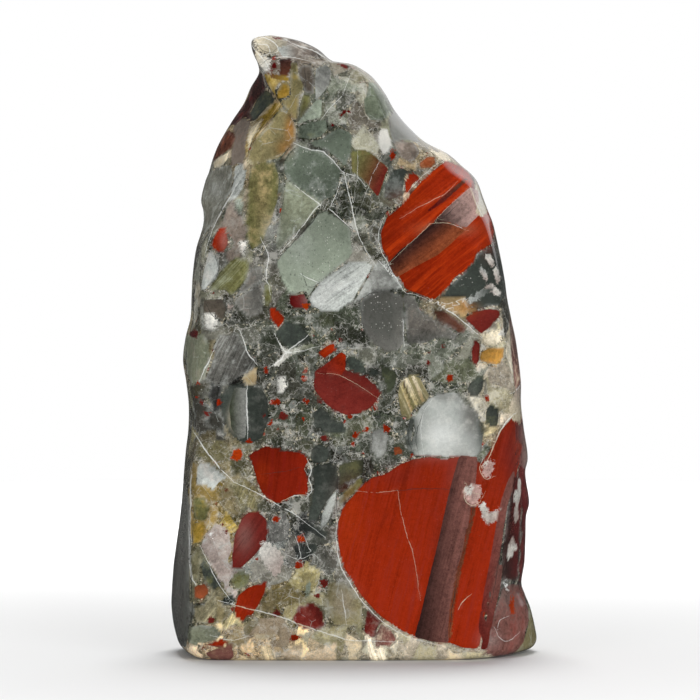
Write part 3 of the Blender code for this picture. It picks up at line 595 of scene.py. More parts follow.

# Pale healed cracks on the sheet: half width, then the points they run through. The widest, along
# the left rim, is partly a pale vein and partly a painted highlight.
VEINS = (
    (0.8, (296,144, 303,147, 312,150, 321,151, 328,156, 335,163, 344,172, 358,178, 366,187)),
    (0.9, (344,172, 348,190, 352,206, 356,228, 366,250, 374,264)),
    (0.9, (297,187, 318,203, 329,208, 340,218, 350,228)), (0.6, (329,208, 335,197, 344,172)),
    (0.7, (329,208, 318,206, 300,230, 281,252)),
    (1.1, (236,186, 228,200, 222,211, 216,222, 212,232, 206,250)),
    (0.5, (322,118, 330,108, 340,98, 346,86, 350,75)), (0.9, (308,461, 311,470, 309,480, 312,490, 307,497)),
    (0.7, (284,500, 294,496, 306,495)), (0.8, (276,336, 286,352, 300,351, 317,347)),
    (0.8, (286,352, 280,360, 272,366)), (1.0, (286,352, 296,345, 306,337)),
    (0.9, (241,333, 248,353, 256,363)), (0.9, (213,353, 205,368, 200,379)),
    (1.0, (247,388, 247,412, 248,436)), (1.1, (195,434, 204,448, 216,463, 224,472, 232,481)),
    (0.8, (238,484, 252,490, 269,500, 279,505, 300,518, 323,536)),
    # along the left rim: partly a pale vein, partly a painted highlight on the edge
    (1.9, (191,478, 190,510, 190,545, 191,575, 194,582)),
    (0.9, (221,601, 249,609, 275,615, 313,629, 345,639, 372,641, 400,642)),
    (0.32, (358,491, 382,492, 398,490.5)), (0.32, (398,491, 400,506, 406.5,534, 414,557, 417.5,584, 420,598)),
    (0.25, (320,373, 341,376, 362,388, 378,398)), (0.3, (456,183, 446,193, 432,200, 415,209, 402,217)),
    (0.3, (446,159, 430,169, 412,187, 400,203)),
    (0.5, (384,218, 379,232, 380,248, 387,262, 395,277, 404,291, 417,295, 434,303)),
    (0.8, (337,520, 336,543, 341,567, 351,585, 361,600, 378,618, 398,632, 413,639, 440,645)),
    (0.8, (436,302, 445,309, 458,317, 470,328, 480,336)), (0.9, (513,392, 518,388, 521,384)),
    (0.7, (460,607, 464,600, 469,596)), (0.5, (497,628, 500,620, 506,617)),
    (0.5, (496,630, 499,637, 506,641, 514,638, 518,634)),
    (0.9, (521,410, 510,418, 500,432, 490,455, 482,470)), (0.6, (403,322, 404,343)),
    (0.6, (342,593, 344,608, 346,622)), (0.5, (464,486, 464,498, 471,505, 480,502, 484,494)),
    (0.5, (482,461, 480,470, 485,479, 493,477)), (0.4, (466,484, 472,492, 480,494, 482,500)),
    (0.5, (296,538, 300,552, 303,568)), (0.4, (304,536, 311,551, 320,560)),
    (0.4, (288,556, 300,559, 314,553)), (0.35, (430,223.5, 448,223, 466,229.5)),
    (0.28, (391,262, 412,241.5, 432,222.5, 452,203, 468,188)), (0.6, (252,46, 258,54, 266,62, 270,72)),
    (0.7, (253,40, 264,38, 274,42, 278,50, 272,55)), (0.6, (258,44, 268,46, 270,53, 262,56)),
    (0.6, (286,40, 298,46, 312,50, 322,56, 330,61)), (0.5, (270,58, 284,57, 298,58, 312,62)),
    (0.5, (434,299, 446,304, 456,301, 468,297)), (0.8, (262,240, 268,256, 266,274, 270,292)),
    (1.0, (481,214, 476,203, 471,190)), (0.7, (303,275, 312,280, 320,283)),
    (0.5, (213,636, 232,640, 250,636)), (0.6, (201,547, 207,560, 215,577, 226,594, 234,602)),
    (0.25, (358,150, 357,175, 354,202)), (0.25, (386,150, 374,172, 362,204)),
    (0.35, (430,402, 423,415, 421,432, 424,456)), (0.4, (439,300, 450,306, 462,303, 470,296)),
    (0.7, (380,262, 392,276, 404,290)),
)

# Dark open cracks on the sheet, in the same form.
CRACKS = (
    (0.6, (398,490.5, 421,488.5, 452,489)), (0.5, (256,42, 262,50, 272,52, 280,46)),
    (0.5, (262,64, 270,58, 282,60, 292,57)), (0.4, (290,44, 304,50, 318,57)),
    (0.4, (419,384, 424,396, 428,402)), (0.4, (408,380, 416,398, 420,408)),
    (0.5, (425,409, 419,424, 416,440, 419,457)), (0.4, (264,474, 280,472, 302,467)),
    (0.9, (321,208, 313,221, 301,234, 283,254)),
    (0.6, (262,72, 270,90, 281,103, 275,113, 262,127, 250,146, 247,160)),
    (0.6, (188,332, 186,352, 186,386, 186,420, 184,470)),
    (0.8, (184,472, 189,500, 190.5,560, 192,610, 188,650)), (0.8, (205,300, 213,316, 224,321)),
    (0.7, (411,420, 408,436, 412,452)), (0.6, (304,66, 306,82, 304,92)), (0.7, (303,275, 308,286, 318,286)),
    (0.6, (437,222, 448,214, 458,204)), (0.6, (449,642, 452,610, 458,575)),
    (0.6, (203,557, 213,571, 222,585)), (0.7, (505,520, 500,556, 492,600)),
    (0.6, (214,253, 219,268, 216,278)), (0.6, (362,300, 372,293, 388,291)),
    (0.7, (282,451, 300,452, 309,460)), (0.6, (338,522, 337,500, 338,470)),
)

# Places on the sheet that are less polished: x, y, half width, half height, how much rougher.
DULL = (
    (300,50, 42, 16, 0.3), (345,68, 16, 6, 0.22), (272,262, 10, 30, 0.1), (512,520, 14, 50, 0.16),
    (430,652, 50, 6, 0.14), (262,648, 60, 8, 0.12), (490,374, 18, 18, 0.18), (230,322, 26, 8, 0.14),
)

PALETTE = {
    "jasper_red": ("8f260c", "Clear red of the banded jasper"),
    "deep_red": ("7a1e0d", "Deep red of the square piece"),
    "pink_quartz": ("c2a097", "Pink crystals in the big red piece"),
    "ember": ("b23c10", "Orange-red streaks in the jasper"),
    "brick": ("6c2620", "Dull red of the small pieces"),
    "crimson": ("5e1413", "Dark red of the small pieces"),
    "brown": ("5a3527", "Chert between the red bands"),
    "umber": ("35221f", "Darkest brown"),
    "rust": ("8f4a2c", "Rusty brown"),
    # on the lower right lobe this dusty purple is partly a painted sheen
    "dusk": ("7e534b", "Dusty purple at the lower right"),
    "amber": ("a96a1c", "Glassy amber"),
    "ochre": ("b0843e", "Warm ochre"),
    "mustard": ("8f7630", "Mustard at the top left"),
    "straw": ("b7a878", "Pale straw"),
    "cream": ("d8ccb0", "Cream veins and crusts"),
    "tan": ("a58f68", "Tan"),
    "olive_tan": ("7f7754", "Olive tan of the top"),
    "olive": ("66653f", "Olive"),
    "sage": ("797d69", "Light sage"),
    "sage_dark": ("6a7260", "Dark sage"),
    "pale_green": ("899282", "Pale grey-green"),
    "slate_green": ("5f685b", "Speckled slate green"),
    "slate": ("3a3f3a", "Dark slate"),
    "charcoal": ("2c2e2d", "Nearly black"),
    "grey_dark": ("61605b", "Dark grey"),
    "grey": ("858681", "Grey"),
    "mist": ("aeb2ad", "Pale blue-grey chalcedony"),
    "quartz": ("d4d2ca", "White quartz"),
    # white also gives the painted highlights: the two white specks, and in part the pale line along the left
    # rim
    "white": ("eceeea", "Brightest quartz"),
    "rose_grey": ("a89a92", "Pinkish grey"),
    "taupe": ("7b7066", "Taupe"),
    "taupe_dark": ("575047", "Dark taupe"),
    "bone": ("9c9582", "Ground, pale and speckled"),
    "sand": ("9d8b6c", "Ground, sandy"),
    "stone_grey": ("76756a", "Ground, grey"),
    "moss_grey": ("616457", "Ground, grey-green"),
    "moss_dark": ("3d4234", "Ground, dark green-grey"),
    "olive_ground": ("7a7254", "Ground, olive"),
    "straw_ground": ("e8cba0", "Ground, straw along the base"),
    "dark_ground": ("34342b", "Ground, darkest"),
}


def through(rows, heights):
    """The columns of a table at the given heights: a cubic through the rows, with each row's slope
    taken from its neighbours."""
    table = np.array(rows)
    knots, values = table[:, 0], table[:, 1:]
    slopes = np.gradient(values, knots, axis=0)
    heights = np.clip(heights, knots[0], knots[-1])
    row = np.clip(np.searchsorted(knots, heights, side="right") - 1, 0, len(knots) - 2)
    step = knots[row + 1] - knots[row]
    t = ((heights - knots[row]) / step)[:, None]
    step = step[:, None]
    return (
        (1 + 2 * t) * (1 - t) ** 2 * values[row]
        + t * (1 - t) ** 2 * step * slopes[row]
        + t * t * (3 - 2 * t) * values[row + 1]
        + t * t * (t - 1) * step * slopes[row + 1]
    )


def closed_spline(cage, turns):
    """A uniform cubic B-spline round the closed cage of each section, at the given places."""
    first = np.floor(turns).astype(int)
    t = (turns - first)[None, :, None]
    weights = (
        (1 - t) ** 3 / 6,
        (3 * t**3 - 6 * t**2 + 4) / 6,
        (-3 * t**3 + 3 * t**2 + 3 * t + 1) / 6,
        t**3 / 6,
    )
    count = cage.shape[1]
    return sum(weight * cage[:, (first + i - 1) % count] for i, weight in enumerate(weights))


def edge_round(heights, radius):
    """How far a face draws in near the base, where its lower edge is a quarter circle."""
    down = np.clip(radius - heights, 0.0, radius)
    return radius - np.sqrt(radius**2 - down**2)


def section_cages(width, height):
    """The cage of each section, as (distance from the left outline, depth), round from the front
    left. A bevel's rim has two points: the nearer they are, the crisper the edge."""
    front, back = through(FACES, height).T
    front = front + edge_round(height, FRONT_EDGE_ROUND)
    back = back - edge_round(height, BACK_EDGE_ROUND)
    depth = back - front
    narrow = np.minimum(1.0, width / NARROW_WIDTH)
    crease = CREASE_REACH * narrow
    crown = FRONT_CROWN * narrow
    low_crown = front - CREASE_CROWN * crown
    zero, one = np.zeros_like(width), np.ones_like(width)
    bevels = (
        through(rows, height).T * (narrow, one, narrow)
        for rows in (FRONT_LEFT, FRONT_RIGHT, BACK_LEFT, BACK_RIGHT)
    )
    (in_fl, in_fr, in_bl, in_br), (share_fl, share_fr, share_bl, share_br), softs = zip(*bevels)
    soft_fl, soft_fr, soft_bl, soft_br = softs
    draw_fl, draw_fr, draw_bl, draw_br = (RIM_DRAW * soft for soft in softs)
    ridge, proud = through(BACK_RIDGE, height).T
    brow = back - proud * narrow
    corners = (
        (in_fl - draw_fl, front + draw_fl),
        (in_fl + soft_fl, front),
        (in_fl + soft_fl + crease, low_crown),
        (CROWN_START * width, front - crown),
        (CROWN_END * width, front - crown),
        (width - in_fr - soft_fr - crease, low_crown),
        (width - in_fr - soft_fr, front),
        (width - in_fr + draw_fr, front + draw_fr),
        (width, front + share_fr * depth),
        (width, back - share_br * depth),
        (width - in_br + draw_br, brow - draw_br),
        (width - in_br - soft_br, brow),
        (ridge * width, back),
        (ridge * width, back),
        (in_bl + soft_bl, brow),
        (in_bl - draw_bl, brow - draw_bl),
        (zero, back - share_bl * depth),
        (zero, front + share_fl * depth),
    )
    return np.stack([np.stack(corner, axis=1) for corner in corners], axis=1)


def ripple(across, z):
    """The polish's low waves, from -1 to 1."""
    return sum(np.sin(2 * np.pi * (a * across + b * z) + phase) for a, b, phase in RIPPLES) / len(RIPPLES)


def smoothstep(low, high, value):
    """0 up to the low value, 1 from the high one, and a smooth rise between them."""
    t = np.clip((value - low) / (high - low), 0.0, 1.0)
    return t * t * (3 - 2 * t)


def outline_at(rows, place):
    """The outline at each section, and the average of it over the neighbouring stations."""
    stations = np.arange(len(rows), dtype=float)[:, None]
    table = np.hstack([stations, np.array(rows)])
    average = sum(through(table, place + shift) for shift in AVERAGED_STATIONS) / len(AVERAGED_STATIONS)
    return through(table, place), average


def off_crest(depth, height, width, turn):
    """0 on the crest of a side and 1 well away from it; 0 all over where the block is slim."""
    crest = CREST_WANDER * np.sin(height / CREST_TURN + turn)
    away = 1.0 - np.exp(-(((depth - crest) / CREST_REACH) ** 2))
    return away * smoothstep(*SLIM_WIDTHS, width)


def even_places(count):
    """Places along the outline tables that are evenly far apart: the running length of the two
    outlines' mean is worked out on a fine scale and read backwards."""
    fine = np.linspace(0.0, len(LEFT_OUTLINE) - 1.0, FINE_STATIONS)
    left, right = (
        through(np.c_[np.arange(len(rows)), rows], fine) for rows in (LEFT_OUTLINE, RIGHT_OUTLINE)
    )
    step = 0.5 * (np.hypot(*np.diff(left, axis=0).T) + np.hypot(*np.diff(right, axis=0).T))
    length = np.r_[0.0, np.cumsum(step)]
    return np.interp(np.linspace(0.0, length[-1], count), length, fine)


def dense_turns(columns):
    """Places round the sections: evenly far apart at half height, and FRONT_DENSITY times closer
    together on the front and the bevels beside it than on the back."""
    fine = np.linspace(0.0, CAGE_POINTS, FINE_TURNS)
    middle = len(LEFT_OUTLINE) // 2
    width = np.array([RIGHT_OUTLINE[middle][0] - LEFT_OUTLINE[middle][0]])
    line = closed_spline(section_cages(width, np.array([LEFT_OUTLINE[middle][1]])), fine)[0]
    step = np.hypot(*np.diff(line, axis=0).T)
    turn = 0.5 * (fine[1:] + fine[:-1])
    front = (turn < BACK_POINTS[0]) | (turn > BACK_POINTS[1])
    length = np.r_[0.0, np.cumsum(step * np.where(front, FRONT_DENSITY, 1.0))]
    return np.interp(np.arange(columns) * length[-1] / columns, length, fine)


def stone_rings(place, turns):
    """Rings of points from the base up, in mm, (section, point, xyz), and the tip. Each section's
    cage is splined, then spread so that it touches the left and the right outline exactly. The
    whole is centred over the origin."""
    left, left_average = outline_at(LEFT_OUTLINE, place)
    right, right_average = outline_at(RIGHT_OUTLINE, place)
    width = right[:, 0] - left[:, 0]
    cages = section_cages(width, 0.5 * (left[:, 1] + right[:, 1]))
    flat = closed_spline(cages, turns)
    across, depth = flat[..., 0], flat[..., 1]
    low = across.min(axis=1, keepdims=True)
    high = across.max(axis=1, keepdims=True)
    share = (across - low) / (high - low)
    z = left[:, 1:] + share * (right[:, 1:] - left[:, 1:])
    width = width[:, None]
    waves = SIDE_RIPPLE * ripple(depth, z)
    left_sink = off_crest(depth, z, width, LEFT_TURN)
    right_sink = off_crest(depth, z, width, RIGHT_TURN)
    left_x = left[:, :1] + left_sink * (np.maximum(left_average - left, 0.0)[:, :1] + CREST_SINK + waves)
    right_fall = np.maximum(right - right_average, 0.0)[:, :1] + CREST_SINK + waves
    right_x = right[:, :1] - right_sink * right_fall
    x = left_x + share * (right_x - left_x)
    rings = np.stack([x, depth + RIPPLE * ripple(x, z), z], axis=2)
    middle = 0.5 * (rings.min(axis=(0, 1)) + rings.max(axis=(0, 1))) * (1.0, 1.0, 0.0)
    return rings - middle, np.array(TIP) - middle


def skin_grid(columns, rows, cap_rings):
    """Points and faces of the closed skin. The first ring is repeated at shrinking size to close the
    base, a fan of triangles closes its centre, and another fan runs up to the tip."""
    rings, tip = stone_rings(even_places(rows), dense_turns(columns))
    centre = rings[0].mean(axis=0)
    size = np.linspace(0.0, 1.0, cap_rings + 1)[1:, None, None] ** CAP_CROWDING
    cap = centre + (rings[0] - centre) * size
    rings = np.concatenate([cap[:-1], rings])
    points = np.concatenate([rings.reshape(-1, 3), centre[None], tip[None]])
    index = np.arange(len(rings) * columns).reshape(len(rings), columns)
    ahead = np.roll(index, -1, axis=1)
    quads = np.stack([index[:-1], ahead[:-1], ahead[1:], index[1:]], axis=2).reshape(-1, 4)
    base, top = len(points) - 2, len(points) - 1
    fans = np.concatenate([
        np.stack([np.full(columns, base), ahead[0], index[0]], axis=1),
        np.stack([index[-1], ahead[-1], np.full(columns, top)], axis=1),
    ])
    return points, quads, fans


def grid_mesh(name, points, quads, fans):
    """A smooth mesh from points in metres, four-sided faces and three-sided faces."""
    mesh = bpy.data.meshes.new(name)
    mesh.vertices.add(len(points))
    mesh.vertices.foreach_set("co", points.astype(np.float32).ravel())
    corners = np.concatenate([quads.ravel(), fans.ravel()])
    starts = np.concatenate([np.arange(len(quads)) * 4, quads.size + np.arange(len(fans)) * 3])
    mesh.loops.add(len(corners))
    mesh.loops.foreach_set("vertex_index", corners.astype(np.int32))
    mesh.polygons.add(len(starts))
    mesh.polygons.foreach_set("loop_start", starts.astype(np.int32))
    mesh.update(calc_edges=True)
    mesh.validate()
    mesh.polygons.foreach_set("use_smooth", np.ones(len(mesh.polygons), bool))
    return mesh


def vertex_normals(mesh):
    """Unit normals at the mesh's points, as one array."""
    normals = np.empty(len(mesh.vertices) * 3, np.float32)
    mesh.vertex_normals.foreach_get("vector", normals)
    return normals.reshape(-1, 3).astype(float)


def waver(points, wavelength, seed, waves=7):
    """Slow wander over space, about -1 to 1: a mean of sines in seeded directions, whose lengths
    are near the given wavelength."""
    random = np.random.default_rng(seed)
    ways = random.normal(size=(waves, 3))
    ways /= np.linalg.norm(ways, axis=1, keepdims=True)
    ways *= 2 * np.pi / (wavelength * random.uniform(0.7, 1.5, (waves, 1)))
    return np.sin(points @ ways.T + random.uniform(0, 2 * np.pi, waves)).sum(axis=1) * 1.6 / waves


def camera_axes():
    """Where the camera stands, in mm, and the ways it looks and holds up."""
    rise = math.radians(CAMERA_RISE)
    ahead = np.array([0.0, math.cos(rise), -math.sin(rise)])
    up = np.array([0.0, math.sin(rise), math.cos(rise)])
    return np.array(CAMERA_TARGET) - ahead * CAMERA_DISTANCE, ahead, up


def on_sheet(points):
    """Where points in mm lie on the drawing sheet: lines from the camera through the point meet the
    sheet, which faces the camera at the target. x runs right and y down, in sheet units."""
    eye, ahead, up = camera_axes()
    away = points - eye
    share = CAMERA_DISTANCE / (away @ ahead) / SHEET_UNIT
    return np.stack([SHEET_MIDDLE + away[:, 0] * share, SHEET_MIDDLE - (away @ up) * share], axis=1)


def cut_corners(outline, share):
    """A closed outline with each corner cut, at the given share of the two sides that meet there."""
    ahead = np.roll(outline, -1, axis=0)
    near, far = outline * (1 - share) + ahead * share, outline * share + ahead * (1 - share)
    return np.stack([near, far], axis=1).reshape(-1, 2)


def inside_depth(points, outline):
    """How deep points are inside a closed outline, negative outside: the distance to the nearest
    side, with the sign of the crossing rule."""
    nearest = np.full(len(points), np.inf)
    crossings = np.zeros(len(points), bool)
    for start, end in zip(outline, np.roll(outline, -1, axis=0)):
        side, away = end - start, points - start
        share = np.clip(away @ side / (side @ side + 1e-9), 0.0, 1.0)
        nearest = np.minimum(nearest, np.hypot(*(away - share[:, None] * side).T))
        if start[1] != end[1]:
            spans = (start[1] > points[:, 1]) != (end[1] > points[:, 1])
            crossings ^= spans & (points[:, 0] < start[0] + (points[:, 1] - start[1]) * side[0] / side[1])
    return np.where(crossings, nearest, -nearest)


def smooth_line(knots, steps=5):
    """A Catmull-Rom curve through knots, with the given number of steps to each span."""
    knots = np.concatenate([2 * knots[:1] - knots[1:2], knots, 2 * knots[-1:] - knots[-2:-1]])
    a, b, c, d = knots[:-3], knots[1:-2], knots[2:-1], knots[3:]
    t = np.linspace(0.0, 1.0, steps, endpoint=False)[:, None, None]
    line = 0.5 * (2 * b + (c - a) * t + (2 * a - 5 * b + 4 * c - d) * t**2 + (3 * b - a - 3 * c + d) * t**3)
    return np.concatenate([line.transpose(1, 0, 2).reshape(-1, 2), knots[-2:-1]])


def pairs(numbers):
    """x,y, x,y ... as an array of points."""
    return np.array(numbers, float).reshape(-1, 2)


class Drawing:
    """What is painted on the skin, one row for each point of it.

    edge: how deep a point is inside the nearest fragment, in mm, negative in the ground between.
    label: which fragment that is. The later fragment wins, and keeps a strip of ground round it."""

    def __init__(self, points, normals):
        self.points, self.normals = points, normals
        self.sheet = on_sheet(points)
        front = through(FACES, points[:, 2])[:, 0]
        self.behind = points[:, 1] - front
        self.hidden = smoothstep(*HIDDEN_FACING, normals[:, 1])
        self.depth = self.behind * self.hidden
        stray = self.hidden * smoothstep(*STRAY_DEPTHS, self.behind) * STRAY / SHEET_UNIT
        self.drawn = self.sheet + stray[:, None] * np.stack(
            [waver(points, STRAY_WAVE, seed) for seed in (11, 12)], axis=1
        )
        count = len(points)
        self.edge = np.full(count, -FAR)
        self.label = np.zeros(count, int)
        self.fade = np.zeros(count)
        self.kinds = []
        self.shards = 0
        mean, swing, least = SLACK
        self.slack = np.clip(mean + swing * waver(points, SLACK_WAVE, 77), least, None)
        self.by_height = np.argsort(points[:, 2])
        self.heights = points[self.by_height, 2]

    def near(self, centre, reach):
        """The points inside a cube round a centre."""
        first, last = np.searchsorted(self.heights, (centre[2] - reach, centre[2] + reach))
        slab = self.by_height[first:last]
        return slab[np.abs(self.points[slab, :2] - centre[:2]).max(axis=1) < reach]

    def beside(self, line, margin):
        """The points drawn inside a line's or an outline's box, with a margin in sheet units."""
        low, high = line.min(axis=0) - margin, line.max(axis=0) + margin
        return np.flatnonzero(((self.drawn > low) & (self.drawn < high)).all(axis=1))

    def lay(self, chosen, depth, tone, second, look, ways, gap=None):
        """Lays one fragment over the rest at the chosen points, and leaves its gap round it."""
        self.kinds.append((tone, second, LOOKS[look], *ways))
        gap = (LOOKS[look][6] if gap is None else gap) * self.slack[chosen]
        kept = np.minimum(self.edge[chosen], -depth - gap)
        newer = depth > kept
        self.edge[chosen] = np.where(newer, depth, kept)
        self.label[chosen] = np.where(newer, len(self.kinds) - 1, self.label[chosen])


def run_of(degrees, lean):
    """Unit ways across and along a fragment's bands: the run lies at an angle from level in the
    sheet, and leans into the depth."""
    angle = math.radians(degrees)
    along = np.array([math.cos(angle), lean, math.sin(angle)])
    along /= np.linalg.norm(along)
    across = np.array([-math.sin(angle), ACROSS_LEAN * (0.35 - lean), math.cos(angle)])
    across -= along * (across @ along)
    return across / np.linalg.norm(across), along


def scattered_centres(drawing, candidates, sizes, spread, random):
    """Seeded centres on the skin, each kept only if it stands clear of those before it. The clear
    distance is a share of the two sizes' sum."""
    weight = np.where(drawing.points[candidates, 1] > 0.0, FRONT_DENSITY, 1.0)
    candidates = random.choice(candidates, TRIES, p=weight / weight.sum())
    kept, kept_sizes = np.empty(0, int), np.empty(0)
    for candidate in candidates:
        size = sizes[0] + (sizes[1] - sizes[0]) * random.beta(*SIZE_SPREAD)
        away = np.linalg.norm(drawing.points[kept] - drawing.points[candidate], axis=1)
        if np.all(away > spread * (kept_sizes + size)):
            kept, kept_sizes = np.append(kept, candidate), np.append(kept_sizes, size)
    order = np.argsort(-kept_sizes)
    return kept[order], kept_sizes[order]


def shard_depth(drawing, middle, size, planes, random):
    """Points near a middle point and how deep they are inside an angular shard: the space inside
    planes at seeded distances. The planes stand nearly square to the skin."""
    centre, normal = drawing.points[middle], drawing.normals[middle]
    ways = random.normal(size=(planes, 3))
    ways -= SQUARE_SHARE * np.outer(ways @ normal, normal)
    ways /= np.linalg.norm(ways, axis=1, keepdims=True)
    reach = size * random.uniform(*PLANE_REACH, planes)
    chosen = drawing.near(centre, 1.7 * size + 1.5)
    return chosen, (reach - (drawing.points[chosen] - centre) @ ways.T).min(axis=1)


def lay_hidden_fragments(drawing, shades):
    """Scatters angular fragments over the sides, the back and the base."""
    random = np.random.default_rng(71)
    shares = np.array([kind[3] for kind in HIDDEN_FRAGMENTS])
    centres, sizes = scattered_centres(
        drawing, np.flatnonzero(drawing.depth > HIDDEN_START), HIDDEN_SIZES, HIDDEN_SPREAD, random
    )
    for centre, size in zip(centres, sizes):
        chosen, deep = shard_depth(drawing, centre, size, random.integers(*HIDDEN_PLANES), random)
        deep = np.minimum(deep, drawing.depth[chosen] - HIDDEN_END)
        kind = random.choice(len(HIDDEN_FRAGMENTS), p=shares / shares.sum())
        tone, second, look, _ = HIDDEN_FRAGMENTS[kind]
        shift = random.uniform(*HIDDEN_LIGHT)
        ways = run_of(random.uniform(0, 180), random.uniform(-0.8, 0.8))
        drawing.lay(chosen, deep, shades[tone] * shift, shades[second], look, ways, HIDDEN_GAP)


def lay_shards(drawing, ground, shades):
    """Fills the ground with small angular shards of nearly its own colour, lighter and darker."""
    random = np.random.default_rng(17)
    centres, sizes = scattered_centres(
        drawing, np.arange(len(drawing.points)), SHARD_SIZES, SHARD_SPREAD, random
    )
    looks, shares = list(SHARD_LOOKS), list(SHARD_LOOKS.values())
    for centre, size in zip(centres, sizes):
        chosen, deep = shard_depth(drawing, centre, size, random.integers(*SHARD_PLANES), random)
        tone = ground[centre] * random.choice(SHARD_LIGHTS)
        tint = shades[random.choice(SHARD_TINTS)]
        tone = tone * (1.0 - SHARD_TINT_SHARE) + tint * SHARD_TINT_SHARE * tone.mean() / tint.mean()
        second = tone * random.choice(SHARD_SECONDS)
        ways = run_of(random.uniform(20, 110), random.uniform(-0.8, 0.8))
        look = looks[random.choice(len(looks), p=shares)]
        drawing.lay(chosen, deep, tone, second, look, ways, random.choice(SHARD_GAPS))


def lay_drawn_fragments(drawing, shades):
    """Lays the drawn fragments. Seen from the front each fills its outline, and behind the visible
    faces it tapers off and ends at its own seeded depth."""
    random = np.random.default_rng(5)
    for tone, second, look, degrees, outline in FRAGMENTS:
        outline = pairs(outline)
        reach = random.uniform(*DEPTH_REACH)
        lean = random.uniform(*BAND_LEAN)
        chosen = drawing.beside(outline, 12.0)
        deep = inside_depth(drawing.drawn[chosen], cut_corners(outline, CORNER_CUT)) * SHEET_UNIT
        depth = drawing.depth[chosen]
        deep = np.minimum(deep - TAPER * np.maximum(depth - TAPER_DEPTH, 0.0), reach - depth)
        # a slow fade from one side of the fragment to the other
        way = random.uniform(0, 2 * np.pi)
        slope = (drawing.drawn[chosen] - outline.mean(axis=0)) @ (math.cos(way), math.sin(way))
        slope /= 0.5 * np.ptp(outline, axis=0).max() + 1.0
        drawing.fade[chosen] = np.where(deep > -0.6, slope, drawing.fade[chosen])
        drawing.lay(chosen, deep, shades[tone], shades[second], look, run_of(degrees, lean))


def laid_over(drawing, shades):
    """The bands, patches and specks that lie over the rest: how deep each point is inside the
    nearest one, in mm, its colour and how ragged it is. A later one wins, with no gap round it."""
    depth = np.full(len(drawing.points), -FAR)
    look = np.zeros((len(depth), 4))
    for tone, second, degrees, ragged, outline in OVERLAYS:
        outline = pairs(outline)
        chosen = drawing.beside(outline, 20.0)
        deep = inside_depth(drawing.drawn[chosen], cut_corners(outline, CORNER_CUT)) * SHEET_UNIT
        deep -= OVERLAY_TAPER * np.maximum(drawing.depth[chosen] - TAPER_DEPTH, 0.0)
        newer = (deep > 0.0) | (deep > depth[chosen])
        way = (math.cos(math.radians(degrees)), -math.sin(math.radians(degrees)))
        span = outline @ way
        run = smoothstep(span.min(), span.max(), drawing.drawn[chosen] @ way)[:, None]
        painted = np.hstack([shades[tone] * (1 - run) + shades[second] * run, run * 0 + ragged])
        look[chosen[newer]] = painted[newer]
        depth[chosen] = np.where(newer, np.maximum(deep, np.minimum(depth[chosen], 0.3)), depth[chosen])
    for number, (x, y, wide, high, tilt, tone) in enumerate(SPECKS):
        angle = math.radians(tilt)
        away = drawing.drawn - (x, y)
        u = away[:, 0] * math.cos(angle) + away[:, 1] * math.sin(angle)
        v = away[:, 1] * math.cos(angle) - away[:, 0] * math.sin(angle)
        turn = np.arctan2(v, u)
        round_size = 1.0 + 0.10 * np.sin(3 * turn + number) + 0.06 * np.sin(5 * turn + 2 * number)
        deep = (1.0 - np.hypot(u / wide, v / high) / round_size) * min(wide, high) * SHEET_UNIT
        deep -= OVERLAY_TAPER * np.maximum(drawing.depth - SPECK_TAPER_DEPTH, 0.0)
        newer = (deep > 0.0) | (deep > depth)
        pale = shades[tone].min() > PALE_SPECK
        light, ragged = (1.0, SPECK_RAGGED[0]) if pale else (RED_SPECK_LIGHT, SPECK_RAGGED[1])
        look[newer] = (*(shades[tone] * light), ragged)
        depth = np.where(newer, np.maximum(deep, np.minimum(depth, 0.3)), depth)
    return depth, look[:, :3], look[:, 3]


def line_sides(drawing, lines, seed, planes):
    """For drawn lines: the signed distance to the nearest line, the plain distance and the line's
    half width, in mm. On the hidden faces, seeded wavy planes cut the skin instead."""
    count = len(drawing.points)
    side, near, half = np.full(count, FAR), np.full(count, FAR), np.full(count, 0.1)
    for width, knots in lines:
        line = smooth_line(pairs(knots))
        chosen = drawing.beside(line, 10.0)
        run = np.linspace(0.0, 1.0, len(line))
        for number, (start, end) in enumerate(zip(line[:-1], line[1:])):
            way, away = end - start, drawing.drawn[chosen] - start
            length = np.hypot(*way) + 1e-9
            share = np.clip(away @ way / length**2, 0.0, 1.0)
            plain = np.hypot(*(away - share[:, None] * way).T) * SHEET_UNIT
            plain = plain + np.maximum(drawing.depth[chosen] - LINE_DEPTH, 0.0)
            signed = (way[0] * away[:, 1] - way[1] * away[:, 0]) / length * SHEET_UNIT
            # the line is widest at the middle of its run
            swell = math.sin(math.pi * min(1.0, 0.08 + run[number]))
            better = plain < near[chosen]
            side[chosen[better]] = signed[better]
            near[chosen[better]] = plain[better]
            half[chosen[better]] = width * SHEET_UNIT * (0.25 + 0.45 * swell)
    random = np.random.default_rng(seed)
    for _ in range(planes):
        way = random.normal(size=3)
        way /= np.linalg.norm(way)
        anchor = drawing.points[random.integers(count)]
        wander = waver(drawing.points, PLANE_WAVE, random.integers(1000))
        signed = (drawing.points - anchor) @ way + PLANE_WANDER * wander
        reach = np.linalg.norm(drawing.points - anchor, axis=1) - random.uniform(*PLANE_RUN)
        plain = np.abs(signed) + np.maximum(reach, 0.0) + np.maximum(LINE_DEPTH - drawing.depth, 0.0)
        better = plain < near
        side[better], near[better] = signed[better], plain[better]
        half[better] = random.uniform(*PLANE_HALF_WIDTH)
    return np.stack([side, near, half], axis=1)


def soft_spots(drawing, x, y, wide, high):
    """A soft round spot on the sheet, 1 in its middle."""
    away = (drawing.sheet - (x, y)) / (wide, high)
    return np.exp(-(away**2).sum(axis=1))


